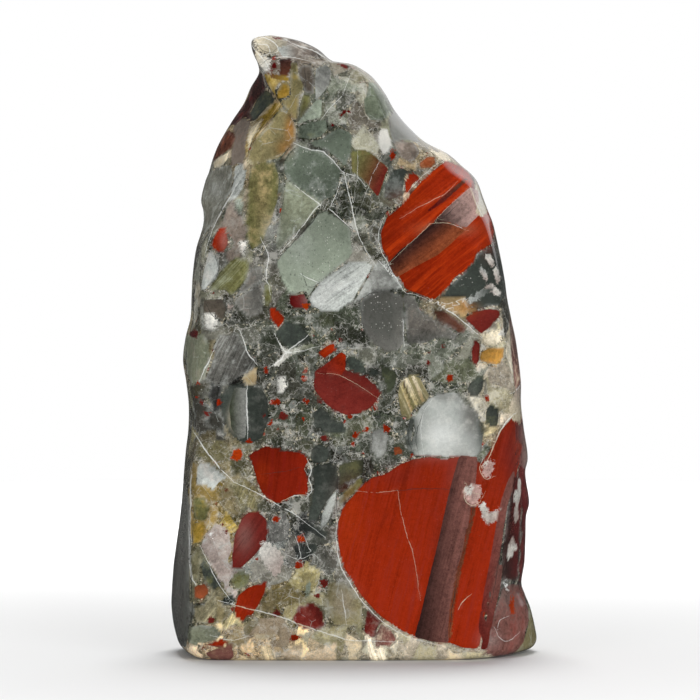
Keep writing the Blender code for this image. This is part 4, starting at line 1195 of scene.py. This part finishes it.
def ground_values(drawing, shades):
    """Colour and crust of the ground. In front, a mean of the drawn grounds weighted by how near
    they are. On the hidden faces, tones that follow slow wanders through the block."""
    total = np.full(len(drawing.points), 1e-6)
    colour = np.zeros((len(total), 3))
    crust = np.zeros((len(total), 4))
    for x, y, wide, high, tone, *values in GROUNDS:
        away = np.hypot(*(drawing.sheet - (x, y)).T)
        weight = soft_spots(drawing, x, y, wide * 0.9, high * 0.9) + 1e-4 / (1.0 + away) ** 2
        total += weight
        colour += weight[:, None] * shades[tone]
        crust += weight[:, None] * np.array(values)
    colour, crust = colour / total[:, None], crust / total[:, None]
    wander = 0.5 + 0.5 * waver(drawing.points, GROUND_WAVE, 31)
    spread = np.linspace(0.0, 1.0, len(HIDDEN_GROUNDS))
    weights = np.exp(-(((wander[:, None] - spread) / TONE_SPREAD) ** 2))
    hidden_colour = weights @ np.array([shades[tone] for tone in HIDDEN_GROUNDS])
    hidden_colour = hidden_colour / weights.sum(axis=1, keepdims=True)
    change = (drawing.hidden * smoothstep(3.0, 12.0, drawing.behind))[:, None]
    colour = colour * (1 - change) + hidden_colour * change
    return colour, crust * (1 - change) + np.array(HIDDEN_CRUST) * change


def paint(mesh, points, shades):
    """Works out every painted value at the mesh's points and stores it as attributes."""
    drawing = Drawing(points, vertex_normals(mesh))
    ground, crust = ground_values(drawing, shades)
    lay_shards(drawing, ground, shades)
    drawing.shards = len(drawing.kinds)
    lay_hidden_fragments(drawing, shades)
    lay_drawn_fragments(drawing, shades)
    tone, second, look, across, along = (
        np.array([kind[number] for kind in drawing.kinds])[drawing.label] for number in range(5)
    )
    fade = np.clip(drawing.fade, -1.0, 1.0) * look[:, 3]
    tone = tone * (1.0 + 1.2 * fade)[:, None]
    in_front = 1.0 - drawing.hidden * smoothstep(4.0, 10.0, drawing.behind)
    for x, y, wide, high, colour, strength in TINTS:
        share = (soft_spots(drawing, x, y, wide, high) * strength * in_front)[:, None]
        tone = tone * (1 - share) + share * shades[colour]
    speck, speck_tone, speck_ragged = laid_over(drawing, shades)
    dull = np.zeros(len(points))
    for x, y, wide, high, more in DULL:
        dull += soft_spots(drawing, x, y, wide, high) * more * in_front
    dull += SAWN_DULLNESS * smoothstep(0.6, 0.05, points[:, 2])
    # each fragment's bands start elsewhere, and a seed below nought marks a shard
    seed = np.where(drawing.label < drawing.shards, -3.7, 3.7) * (drawing.label + 1)
    flow = np.stack([(across * points).sum(axis=1), (along * points).sum(axis=1), seed], axis=1)
    values = {
        "edges": np.stack([drawing.edge, speck, dull], axis=1),
        "flow": flow,
        "look": look[:, :3],
        "grain": look[:, 3:6],
        "tone": tone,
        "second": second,
        "speck_tone": speck_tone,
        "ground": ground,
        "crust": crust[:, :3],
        "flecks": np.stack([crust[:, 3], look[:, 7], speck_ragged], axis=1),
        "vein": line_sides(drawing, VEINS, 21, 16),
        "crack": line_sides(drawing, CRACKS, 22, 9),
    }
    for name, value in values.items():
        attribute = mesh.attributes.new(name, "FLOAT_VECTOR", "POINT")
        attribute.data.foreach_set("vector", np.ascontiguousarray(value, np.float32).ravel())


class Value:
    """A socket that carries a number. Sums and products of it add Math nodes."""

    def __init__(self, graph, socket):
        self.graph, self.socket = graph, socket

    def __add__(self, other):
        return self.graph.math("ADD", self, other)

    def __sub__(self, other):
        return self.graph.math("SUBTRACT", self, other)

    def __rsub__(self, other):
        return self.graph.math("SUBTRACT", other, self)

    def __mul__(self, other):
        return self.graph.math("MULTIPLY", self, other)

    def __truediv__(self, other):
        return self.graph.math("DIVIDE", self, other)

    __radd__, __rmul__ = __add__, __mul__


class Graph:
    """Builds one node tree."""

    def __init__(self, tree):
        self.tree = tree
        tree.nodes.clear()

    def node(self, kind, settings=None, inputs=None):
        """Adds a node of a kind, with its settings first and then its sockets' values or links."""
        made = self.tree.nodes.new(kind)
        for key, value in (settings or {}).items():
            setattr(made, key, value)
        for key, value in (inputs or {}).items():
            if isinstance(value, Value):
                self.tree.links.new(value.socket, made.inputs[key])
            else:
                made.inputs[key].default_value = value
        return made

    def out(self, made, name=0):
        return Value(self, made.outputs[name])

    def math(self, operation, *values):
        return self.out(self.node("ShaderNodeMath", {"operation": operation}, dict(enumerate(values))))

    def clamp(self, value):
        return self.out(self.node("ShaderNodeClamp", None, {0: value}))

    def smooth(self, value, low, high, start=0.0, end=1.0):
        """Rises smoothly from start to end while the value goes from low to high."""
        inputs = {0: value, 1: low, 2: high, 3: start, 4: end}
        return self.out(self.node("ShaderNodeMapRange", {"interpolation_type": "SMOOTHSTEP"}, inputs))

    def mix(self, share, first, second):
        """Mixes two colours."""
        inputs = {0: share, 6: first, 7: second}
        return self.out(self.node("ShaderNodeMix", {"data_type": "RGBA"}, inputs), 2)

    def shade(self, colour, factor):
        """A colour made lighter or darker by a number."""
        return self.vector("SCALE", colour, scale=factor)

    def vector(self, operation, first, second=None, scale=None):
        inputs = {0: first}
        if second is not None:
            inputs[1] = second
        if scale is not None:
            inputs[3] = scale
        return self.out(self.node("ShaderNodeVectorMath", {"operation": operation}, inputs))

    def attribute(self, name):
        return self.out(self.node("ShaderNodeAttribute", {"attribute_name": name}), "Vector")

    def parts(self, vector):
        made = self.node("ShaderNodeSeparateXYZ", None, {0: vector})
        return self.out(made, 0), self.out(made, 1), self.out(made, 2)

    def noise(self, vector, scale, detail, roughness=0.55, output=0):
        """Cloudy noise, from 0 to 1 with a mean of a half. Output 1 is its colour."""
        inputs = {"Vector": vector, "Scale": scale, "Detail": detail, "Roughness": roughness}
        return self.out(self.node("ShaderNodeTexNoise", None, inputs), output)

    def cells(self, vector, scale, feature="F1", output="Distance"):
        """Seeded cells: the distance to the nearest seed or edge, or a number triple for each cell."""
        inputs = {"Vector": vector, "Scale": scale}
        return self.out(self.node("ShaderNodeTexVoronoi", {"feature": feature}, inputs), output)


def polished_stone(sizes, colours):
    """The stone's one material. The stored distances, roughened by fine noise, part fragments from
    ground. Fragments get bands, clouds and flecks. The ground is smoky, with broken bits, webs of
    white threads, druse and dark hollows. Veins, cracks and specks lie on top."""
    material = bpy.data.materials.new("polished_bloodstone")
    material.use_nodes = True
    g = Graph(material.node_tree)
    shader = g.node("ShaderNodeBsdfPrincipled", None, {
        "Specular IOR Level": sizes.specular, "Coat Weight": 0.0, "IOR": 1.5,
    })
    output = g.node("ShaderNodeOutputMaterial")
    g.tree.links.new(shader.outputs[0], output.inputs[0])
    place = g.vector("SCALE", g.out(g.node("ShaderNodeTexCoord"), "Object"), scale=1.0 / MM)
    place = g.vector("ADD", place, (83.0, 47.0, 31.0))
    shade = {name: (*getattr(colours, name), 1.0) for name in PALETTE}

    # noises in mm: fine grit, grain of about a millimetre, clouds of about three, broad ones
    grit = g.noise(place, GRIT, 3.0, 0.65)
    grain = g.noise(place, GRAIN, 4.0, 0.62)
    cloud = g.noise(place, CLOUD, 5.0, 0.60)
    broad = g.noise(place, BROAD, 3.0, 0.55)
    grit_swing, grain_swing, cloud_swing, broad_swing = grit - 0.5, grain - 0.5, cloud - 0.5, broad - 0.5

    edge, speck_edge, dull = g.parts(g.attribute("edges"))
    bands, clouds, flecks = g.parts(g.attribute("look"))
    depth, ragged, rim = g.parts(g.attribute("grain"))
    across, along, seed = g.parts(g.attribute("flow"))
    druse, pits, bits = g.parts(g.attribute("crust"))
    red_flecks, inner_light, speck_ragged = g.parts(g.attribute("flecks"))
    tone, second = g.attribute("tone"), g.attribute("second")
    ground, speck_tone = g.attribute("ground"), g.attribute("speck_tone")

    # fragments against ground
    rough_edge = edge + ragged * (grain_swing * 2.2 + grit_swing * 1.3)
    inside = g.smooth(rough_edge, -0.05 - ragged * 0.12, 0.05 + ragged * 0.12)

    # flat crystal facets of about a millimetre
    warp = g.vector("SCALE", g.noise(place, 0.8, 3.0, output=1), scale=1.5)
    bit_place = g.vector("ADD", place, warp)
    _, _, facet = g.parts(g.cells(bit_place, FACET, output="Color"))
    facet_swing = facet - 0.5

    # bands run along each fragment's own way, wide ones and fine ones
    bend = broad_swing * 1.2
    wide_run = {0: across * 0.70 + bend, 1: along * 0.030, 2: seed}
    fine_run = {0: across * 3.0 + bend, 1: along * 0.14, 2: seed + 5.0}
    wide_bands, fine_bands = (
        g.noise(g.out(g.node("ShaderNodeCombineXYZ", None, run)), 1.0, 3.0, 0.6)
        for run in (wide_run, fine_run)
    )
    band_share = g.smooth(wide_bands + (fine_bands - 0.5) * 0.5, 0.50, 0.70) * bands
    cloud_share = g.smooth(cloud + grain_swing * 0.3, 0.46, 0.72) * clouds
    fragment = g.mix(g.clamp(band_share * 0.55 + cloud_share * 0.75), tone, second)
    swing = (
        (wide_bands - 0.5) * bands * 3.4 + (fine_bands - 0.5) * bands * 2.8
        + cloud_swing * clouds * 4.2 + grain_swing * 1.5 + grit_swing * 2.0 + facet_swing * clouds * 0.9
    )
    fragment = g.shade(fragment, g.math("MAXIMUM", 1.0 + swing * depth * 1.3, 0.22))

    # pale and dark flecks: grains of about a third of a millimetre, in swarms
    swarm = g.smooth(cloud + broad_swing * 0.6, 0.42, 0.62)
    grains = g.cells(place, FLECK)
    grain_number, grain_size, _ = g.parts(g.cells(place, FLECK, output="Color"))
    fleck_edge = grains + grit_swing * 0.35 - grain_size * 0.16
    pale_fleck = g.smooth(fleck_edge, 0.20, 0.06) * g.smooth(grain_number, 0.60, 0.64) * swarm
    dark_fleck = g.smooth(fleck_edge, 0.30, 0.16) * g.smooth(grain_number, 0.22, 0.18)
    fragment = g.mix(pale_fleck * flecks * 0.80, fragment, shade["quartz"])
    fragment = g.mix(dark_fleck * flecks * 0.55, fragment, shade["slate"])

    # glassy fragments lighten along their edge, the others darken a little just inside it
    light_edge = g.smooth(rough_edge, 0.75, 0.05) * g.smooth(cloud + grain_swing * 0.3, 0.40, 0.60)
    fragment = g.mix(light_edge * inner_light, fragment, shade["mist"])
    contour = g.smooth(rough_edge, 0.34, 0.02) * (0.34 - inner_light) * g.smooth(grain, 0.40, 0.60)
    fragment = g.shade(fragment, 1.0 - g.clamp(contour))

    # straight pale seams part some of the glassy fragments and the ground into plates
    plate_place = g.vector("ADD", place, g.vector("SCALE", g.noise(place, 0.5, 2.0, output=1), scale=0.6))
    plate_gap = g.cells(plate_place, PLATE, feature="DISTANCE_TO_EDGE")
    _, _, plate_light = g.parts(g.cells(plate_place, PLATE, output="Color"))
    seam = g.smooth(plate_gap, 0.016, 0.004) * g.smooth(cloud + grain_swing * 0.5, 0.46, 0.56)
    seam_share = seam * g.smooth(inner_light, 0.21, 0.30) * 0.5
    fragment = g.shade(fragment, 1.0 + (plate_light - 0.5) * inner_light * 0.9)
    fragment = g.mix(seam_share, fragment, shade["mist"])

    # ground: smoky and grainy, with broken bits of a few tones
    bit_gap = g.cells(bit_place, BIT, feature="DISTANCE_TO_EDGE")
    bit_number, bit_tint, bit_light = g.parts(g.cells(bit_place, BIT, output="Color"))
    smoke = cloud_swing * 2.2 + grain_swing * 2.4 + grit_swing * 2.4 + facet_swing * 0.50
    smoke = smoke + (plate_light - 0.5) * 0.35
    stained = g.mix(g.smooth(cloud, 0.50, 0.66) * 0.30, ground, shade["olive_ground"])
    stained = g.mix(g.smooth(broad, 0.48, 0.60) * 0.30, stained, shade["slate_green"])
    base = g.shade(stained, g.math("MAXIMUM", 0.80 + smoke, 0.14))
    bit = shade["slate_green"]
    for low, high, name in (
        (0.35, 0.38, "moss_dark"), (0.62, 0.65, "stone_grey"), (0.82, 0.85, "olive"), (0.93, 0.95, "mist"),
    ):
        bit = g.mix(g.smooth(bit_tint, low, high), bit, shade[name])
    bit = g.shade(g.mix(0.45, bit, ground), 0.45 + bit_light * 0.75 + grain_swing * 1.0 + grit_swing * 0.8)
    bit_inside = g.smooth(bit_gap + grit_swing * 0.06, 0.035, 0.060) * g.smooth(bit_number, 0.44, 0.46)
    base = g.mix(bit_inside * bits * 0.9, base, bit)

    # dark hollows, then red crumbs
    hollow_noise = g.noise(place, HOLLOW, 5.0, 0.60)
    hollow = g.smooth(hollow_noise - pits * 0.16, 0.40, 0.32) * g.smooth(pits, 0.02, 0.30)
    base = g.mix(hollow * 0.65, base, shade["charcoal"])
    red_spot = g.cells(bit_place, RED_CRUMB)
    red_number, red_size, _ = g.parts(g.cells(bit_place, RED_CRUMB, output="Color"))
    red_inside = g.smooth(red_spot - red_size * 0.34, 0.10, 0.03)
    red_inside = red_inside * g.smooth(red_number + red_flecks * 0.75, 0.93, 0.97)
    red_tone = g.mix(red_size, shade["crimson"], shade["jasper_red"])
    base = g.mix(red_inside, base, g.shade(red_tone, 0.8 + grain * 0.4))

    # red dust strays from the red fragments into the ground
    red_part, green_part, _ = g.parts(tone)
    is_red = g.smooth(red_part - green_part * 3.0, 0.02, 0.07)
    dust = g.smooth(edge + cloud_swing * 2.2 + grain_swing * 1.6, -1.0, 0.2) * is_red
    base = g.mix(dust * 0.55, base, g.shade(tone, 0.85))

    surface = g.mix(inside, base, fragment)
    open_share = 1.0 - inside * g.smooth(seed, -1.0, 0.0)

    # webs of white threads at two sizes, and druse where the ground is crusted; both run over shards
    thread = g.math("ABSOLUTE", g.noise(place, THREAD, 4.0, 0.60) - 0.5)
    fine_thread = g.math("ABSOLUTE", g.noise(place, FINE_THREAD, 4.0, 0.62) - 0.5)
    thread_strength = g.smooth(druse + cloud_swing * 0.9, 0.22, 0.75)
    web = g.math("MAXIMUM", g.smooth(thread, 0.022, 0.004), g.smooth(fine_thread, 0.026, 0.006) * 0.35)
    web = g.math("MAXIMUM", web, seam)
    wisps = g.noise(place, WISP, 6.0, 0.70)
    crusted = g.smooth(wisps + grit_swing * 0.35 + cloud_swing * 1.4 + druse * 0.10, 0.68, 0.84)
    lace = g.math("MAXIMUM", web * thread_strength * 0.75, crusted * g.smooth(druse, 0.05, 0.60))
    on_shards = 1.0 - inside * 0.45
    surface = g.mix(lace * open_share * on_shards * 0.70, surface, shade["quartz"])

    # crusts of small crystals beside fragments: pale ones, white sparks and dark gaps
    crystal = g.cells(place, CRYSTAL)
    crystal_number, crystal_light, _ = g.parts(g.cells(place, CRYSTAL, output="Color"))
    beside = g.smooth(rough_edge, -0.85, -0.20) * rim * g.smooth(cloud + grain_swing * 0.9, 0.42, 0.56)
    beside = beside * (1.0 - inside)
    crust_tone = g.shade(g.mix(crystal_light, ground, shade["cream"]), 0.35 + crystal_light * 0.95)
    surface = g.shade(surface, 1.0 - beside * 0.45)
    surface = g.mix(beside * g.smooth(crystal_number, 0.52, 0.56), surface, crust_tone)
    more = g.math("MAXIMUM", beside * 0.20, druse * swarm * 0.12)
    sparkle = g.smooth(crystal, 0.26, 0.14) * g.smooth(crystal_number + more, 0.96, 0.98)
    surface = g.mix(sparkle * open_share * on_shards, surface, shade["white"])
    more = g.math("MAXIMUM", beside * 0.12, pits * swarm * 0.22)
    dark_gap = g.smooth(crystal, 0.30, 0.16) * g.smooth(crystal_light + more, 0.92, 0.95)
    surface = g.mix(dark_gap * open_share * on_shards * 0.8, surface, shade["charcoal"])

    # the bands, patches and specks on top share the run of the bands below
    speck_rough = speck_edge + speck_ragged * (grain_swing * 0.75 + grit_swing * 0.5)
    speck = g.smooth(speck_rough, -0.03, 0.06 + speck_ragged * 0.10)
    streaks = ((wide_bands - 0.5) + (fine_bands - 0.5) * 0.9) * bands * inside
    speck_light = 0.88 + streaks + grain_swing * 1.1 + cloud_swing * 1.0 + grit_swing * 1.0
    surface = g.mix(speck, surface, g.shade(speck_tone, g.math("MAXIMUM", speck_light, 0.2)))

    # veins with a milky halo, cream ones inside red fragments, and open cracks; the wide pale line on
    # the left rim is partly a painted highlight
    pale_line = g.mix(is_red * inside, shade["white"], shade["cream"])
    for name, line_shade, strength, halo_strength in (
        ("vein", pale_line, 0.66, 0.12), ("crack", shade["charcoal"], 0.75, 0.0)
    ):
        side, near, half = g.parts(g.attribute(name))
        offset = g.math("ABSOLUTE", side + cloud_swing * 0.8 + grain_swing * 0.26 + grit_swing * 0.10)
        ends = g.smooth(near - half, 0.80, 0.45)
        line = g.smooth(offset / half, 1.20, 0.50) * ends * g.smooth(grain + cloud_swing * 0.9, 0.24, 0.42)
        halo = g.smooth(near - half, 0.8, 0.0) * g.smooth(cloud + grain_swing * 0.8, 0.44, 0.66)
        halo = (1.0 - inside * 0.75) * halo
        surface = g.mix(g.math("MAXIMUM", line * strength, halo * halo_strength), surface, line_shade)

    # crusts, hollows and sawn places are less polished, and hollows sink a little
    open_ground = open_share * (1.0 - speck)
    rough = sizes.polish + open_ground * (0.03 + crusted * 0.16 + hollow * 0.20)
    rough = rough + dull * (0.6 + grain * 0.8) + grain_swing * 0.05
    relief = inside * 0.25 + (1.0 - open_ground * hollow) * 0.5 + grain * (dull * 1.8 + open_ground * 0.25)
    bump = g.node("ShaderNodeBump", None, {"Strength": 0.20, "Distance": 0.12 * MM, "Height": relief})
    links = g.tree.links
    links.new(surface.socket, shader.inputs["Base Color"])
    links.new(g.clamp(rough).socket, shader.inputs["Roughness"])
    links.new(bump.outputs[0], shader.inputs["Normal"])
    return material


def floor_with_painted_shadow(name, shade, glow):
    """A matt floor material with painted light: it glows dimly near the stone, which paints a shadow
    round it, and more with distance, so that it runs into the white surroundings."""
    material = bpy.data.materials.new(name)
    material.use_nodes = True
    g = Graph(material.node_tree)
    x, y, _ = g.parts(g.out(g.node("ShaderNodeTexCoord"), "Object"))
    away = g.math("SQRT", x * x + y * y)
    # painted glow: dim near the stone so that it paints a shadow round it, brighter with distance
    light = g.smooth(away, *PAINTED_GLOW_REACH, *glow)
    tone = g.out(g.node("ShaderNodeCombineColor", None, {0: light, 1: light, 2: light}))
    shader = g.node("ShaderNodeBsdfPrincipled", None, {
        "Base Color": (*shade, 1.0), "Roughness": 1.0, "Specular IOR Level": 0.0, "Emission Strength": 1.0,
        "Emission Color": tone,
    })
    output = g.node("ShaderNodeOutputMaterial")
    g.tree.links.new(shader.outputs[0], output.inputs[0])
    return material


def soft_light(name, place, aim, size, watts, mirrored):
    """A square area light that faces a point. A light that isn't mirrored leaves no glare."""
    lamp = bpy.data.lights.new(name, "AREA")
    lamp.size, lamp.energy = size, watts
    light = bpy.data.objects.new(name, lamp)
    light.location = place
    light.visible_glossy = mirrored
    light.rotation_euler = (Vector(aim) - Vector(place)).to_track_quat("-Z", "Y").to_euler()
    bpy.context.scene.collection.objects.link(light)


def white_surroundings(strength):
    """A white world. What the stone mirrors from in front and behind is dimmer than from the sides."""
    world = bpy.data.worlds.new("studio")
    bpy.context.scene.world = world
    world.use_nodes = True
    g = Graph(world.node_tree)
    _, depth, _ = g.parts(g.out(g.node("ShaderNodeTexCoord"), "Generated"))
    paths = g.node("ShaderNodeLightPath")
    camera, mirrored = g.out(paths, "Is Camera Ray"), g.out(paths, "Is Glossy Ray")
    glow = strength * (1.0 - depth * depth * 0.62) * (1.0 - mirrored * 0.45)
    glow = camera + (1.0 - camera) * glow
    back = g.node("ShaderNodeBackground", None, {0: (1.0, 1.0, 1.0, 1.0), 1: glow})
    output = g.node("ShaderNodeOutputWorld")
    g.tree.links.new(back.outputs[0], output.inputs[0])


def linear(code):
    """The linear colour of a two-digit-a-channel colour code."""
    shares = (int(code[start:start + 2], 16) / 255 for start in (0, 2, 4))
    return tuple(
        share / 12.92 if share <= 0.04045 else ((share + 0.055) / 1.055) ** 2.4 for share in shares
    )


class StoneColours(bpy.types.PropertyGroup):
    """The colours met in the stone."""

    __annotations__ = {
        name: FloatVectorProperty(
            name=name.replace("_", " ").capitalize(), description=text, subtype="COLOR", size=3,
            min=0.0, max=1.0, default=linear(code),
        )
        for name, (code, text) in PALETTE.items()
    }


class StoneSizes(bpy.types.PropertyGroup):
    """Grid, polish and light."""

    columns: IntProperty(name="Columns", description="Points round the skin", default=340, min=40, max=360)
    rows: IntProperty(name="Rows", description="Rings from base to tip", default=262, min=40, max=280)
    cap_rings: IntProperty(name="Base rings", description="Rings on the base", default=22, min=4, max=30)
    polish: FloatProperty(name="Roughness", description="How rough it is", default=0.11, min=0.02, max=0.6)
    specular: FloatProperty(
        name="Specular level", description="How strongly the skin mirrors", default=0.12, min=0.0, max=1.0,
    )
    surround: FloatProperty(
        name="Surround", description="Strength of the white surroundings", default=0.24, min=0.0, max=3.0,
    )
    floor_radius: FloatProperty(
        name="Floor radius", description="Radius of the round floor", unit="LENGTH", default=0.5, min=0.3,
    )


class BLOODSTONE_OT_skin(bpy.types.Operator):
    """Make the polished skin and paint it"""

    bl_idname = "bloodstone.skin"
    bl_label = "Polished Skin"

    def execute(self, context):
        sizes, colours = context.scene.bloodstone_sizes, context.scene.bloodstone_colours
        points, quads, fans = skin_grid(sizes.columns, sizes.rows, sizes.cap_rings)
        mesh = grid_mesh("polished_skin", points * MM, quads, fans)
        paint(mesh, points, {name: np.array(getattr(colours, name)) for name in PALETTE})
        mesh.materials.append(polished_stone(sizes, colours))
        skin = bpy.data.objects.new("polished_skin", mesh)
        context.scene.collection.objects.link(skin)
        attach(skin, "root")
        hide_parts("stone")
        return {"FINISHED"}


class BLOODSTONE_OT_stage(bpy.types.Operator):
    """Make the pale floor, the soft lights and the camera"""

    bl_idname = "bloodstone.stage"
    bl_label = "Floor, Lights and Camera"

    def execute(self, context):
        sizes = context.scene.bloodstone_sizes
        turn = np.linspace(0.0, 2 * np.pi, FLOOR_SPOKES, endpoint=False)
        radii = np.linspace(FLOOR_INNER, sizes.floor_radius, FLOOR_RINGS)[:, None]
        rings = np.stack([radii * np.cos(turn), radii * np.sin(turn), 0.0 * radii * turn], axis=2)
        index = np.arange(FLOOR_RINGS * FLOOR_SPOKES).reshape(FLOOR_RINGS, FLOOR_SPOKES)
        ahead = np.roll(index, -1, axis=1)
        quads = np.stack([index[:-1], index[1:], ahead[1:], ahead[:-1]], axis=2).reshape(-1, 4)
        fan = np.stack([np.full(FLOOR_SPOKES, index.size), index[0], ahead[0]], axis=1)
        points = np.concatenate([rings.reshape(-1, 3), np.zeros((1, 3))])
        mesh = grid_mesh("pale_floor", points, quads, fan)
        mesh.materials.append(floor_with_painted_shadow("pale_floor", (FLOOR_SHADE,) * 3, FLOOR_PAINTED_GLOW))
        floor = bpy.data.objects.new("pale_floor", mesh)
        floor.visible_glossy = False
        context.scene.collection.objects.link(floor)

        for name, place, size, watts, mirrored in LIGHTS:
            soft_light(name, place, LIGHT_AIM, size, watts, mirrored)
        white_surroundings(sizes.surround)

        eye, _, _ = camera_axes()
        lens = bpy.data.cameras.new("camera")
        lens.sensor_width = 36.0
        lens.lens = 18.0 * CAMERA_DISTANCE / (SHEET_MIDDLE * SHEET_UNIT)
        lens.clip_start, lens.clip_end = 0.01, 100.0
        camera = bpy.data.objects.new("camera", lens)
        camera.location = Vector(eye * MM)
        camera.rotation_euler = (math.radians(90.0 - CAMERA_RISE), 0.0, 0.0)
        context.scene.collection.objects.link(camera)
        context.scene.camera = camera
        context.scene.view_settings.view_transform = "Standard"
        return {"FINISHED"}


class BLOODSTONE_PT_panel(bpy.types.Panel):
    """Lists the sizes and the colours, with buttons that make the skin and the stage"""

    bl_label = "Bloodstone"
    bl_idname = "BLOODSTONE_PT_panel"
    bl_space_type = "VIEW_3D"
    bl_region_type = "UI"
    bl_category = "Bloodstone"

    def draw(self, context):
        layout = self.layout
        for name in StoneSizes.__annotations__:
            layout.prop(context.scene.bloodstone_sizes, name)
        for name in PALETTE:
            layout.prop(context.scene.bloodstone_colours, name)
        layout.operator(BLOODSTONE_OT_skin.bl_idname)
        layout.operator(BLOODSTONE_OT_stage.bl_idname)


CLASSES = (StoneColours, StoneSizes, BLOODSTONE_OT_skin, BLOODSTONE_OT_stage, BLOODSTONE_PT_panel)


def register():
    for kind in CLASSES:
        bpy.utils.register_class(kind)
    bpy.types.Scene.bloodstone_colours = PointerProperty(type=StoneColours)
    bpy.types.Scene.bloodstone_sizes = PointerProperty(type=StoneSizes)


def unregister():
    del bpy.types.Scene.bloodstone_sizes
    del bpy.types.Scene.bloodstone_colours
    for kind in reversed(CLASSES):
        bpy.utils.unregister_class(kind)


def main():
    """Makes the skin and the stage."""
    register()
    bpy.ops.bloodstone.skin()
    bpy.ops.bloodstone.stage()


if __name__ == "__main__":
    main()
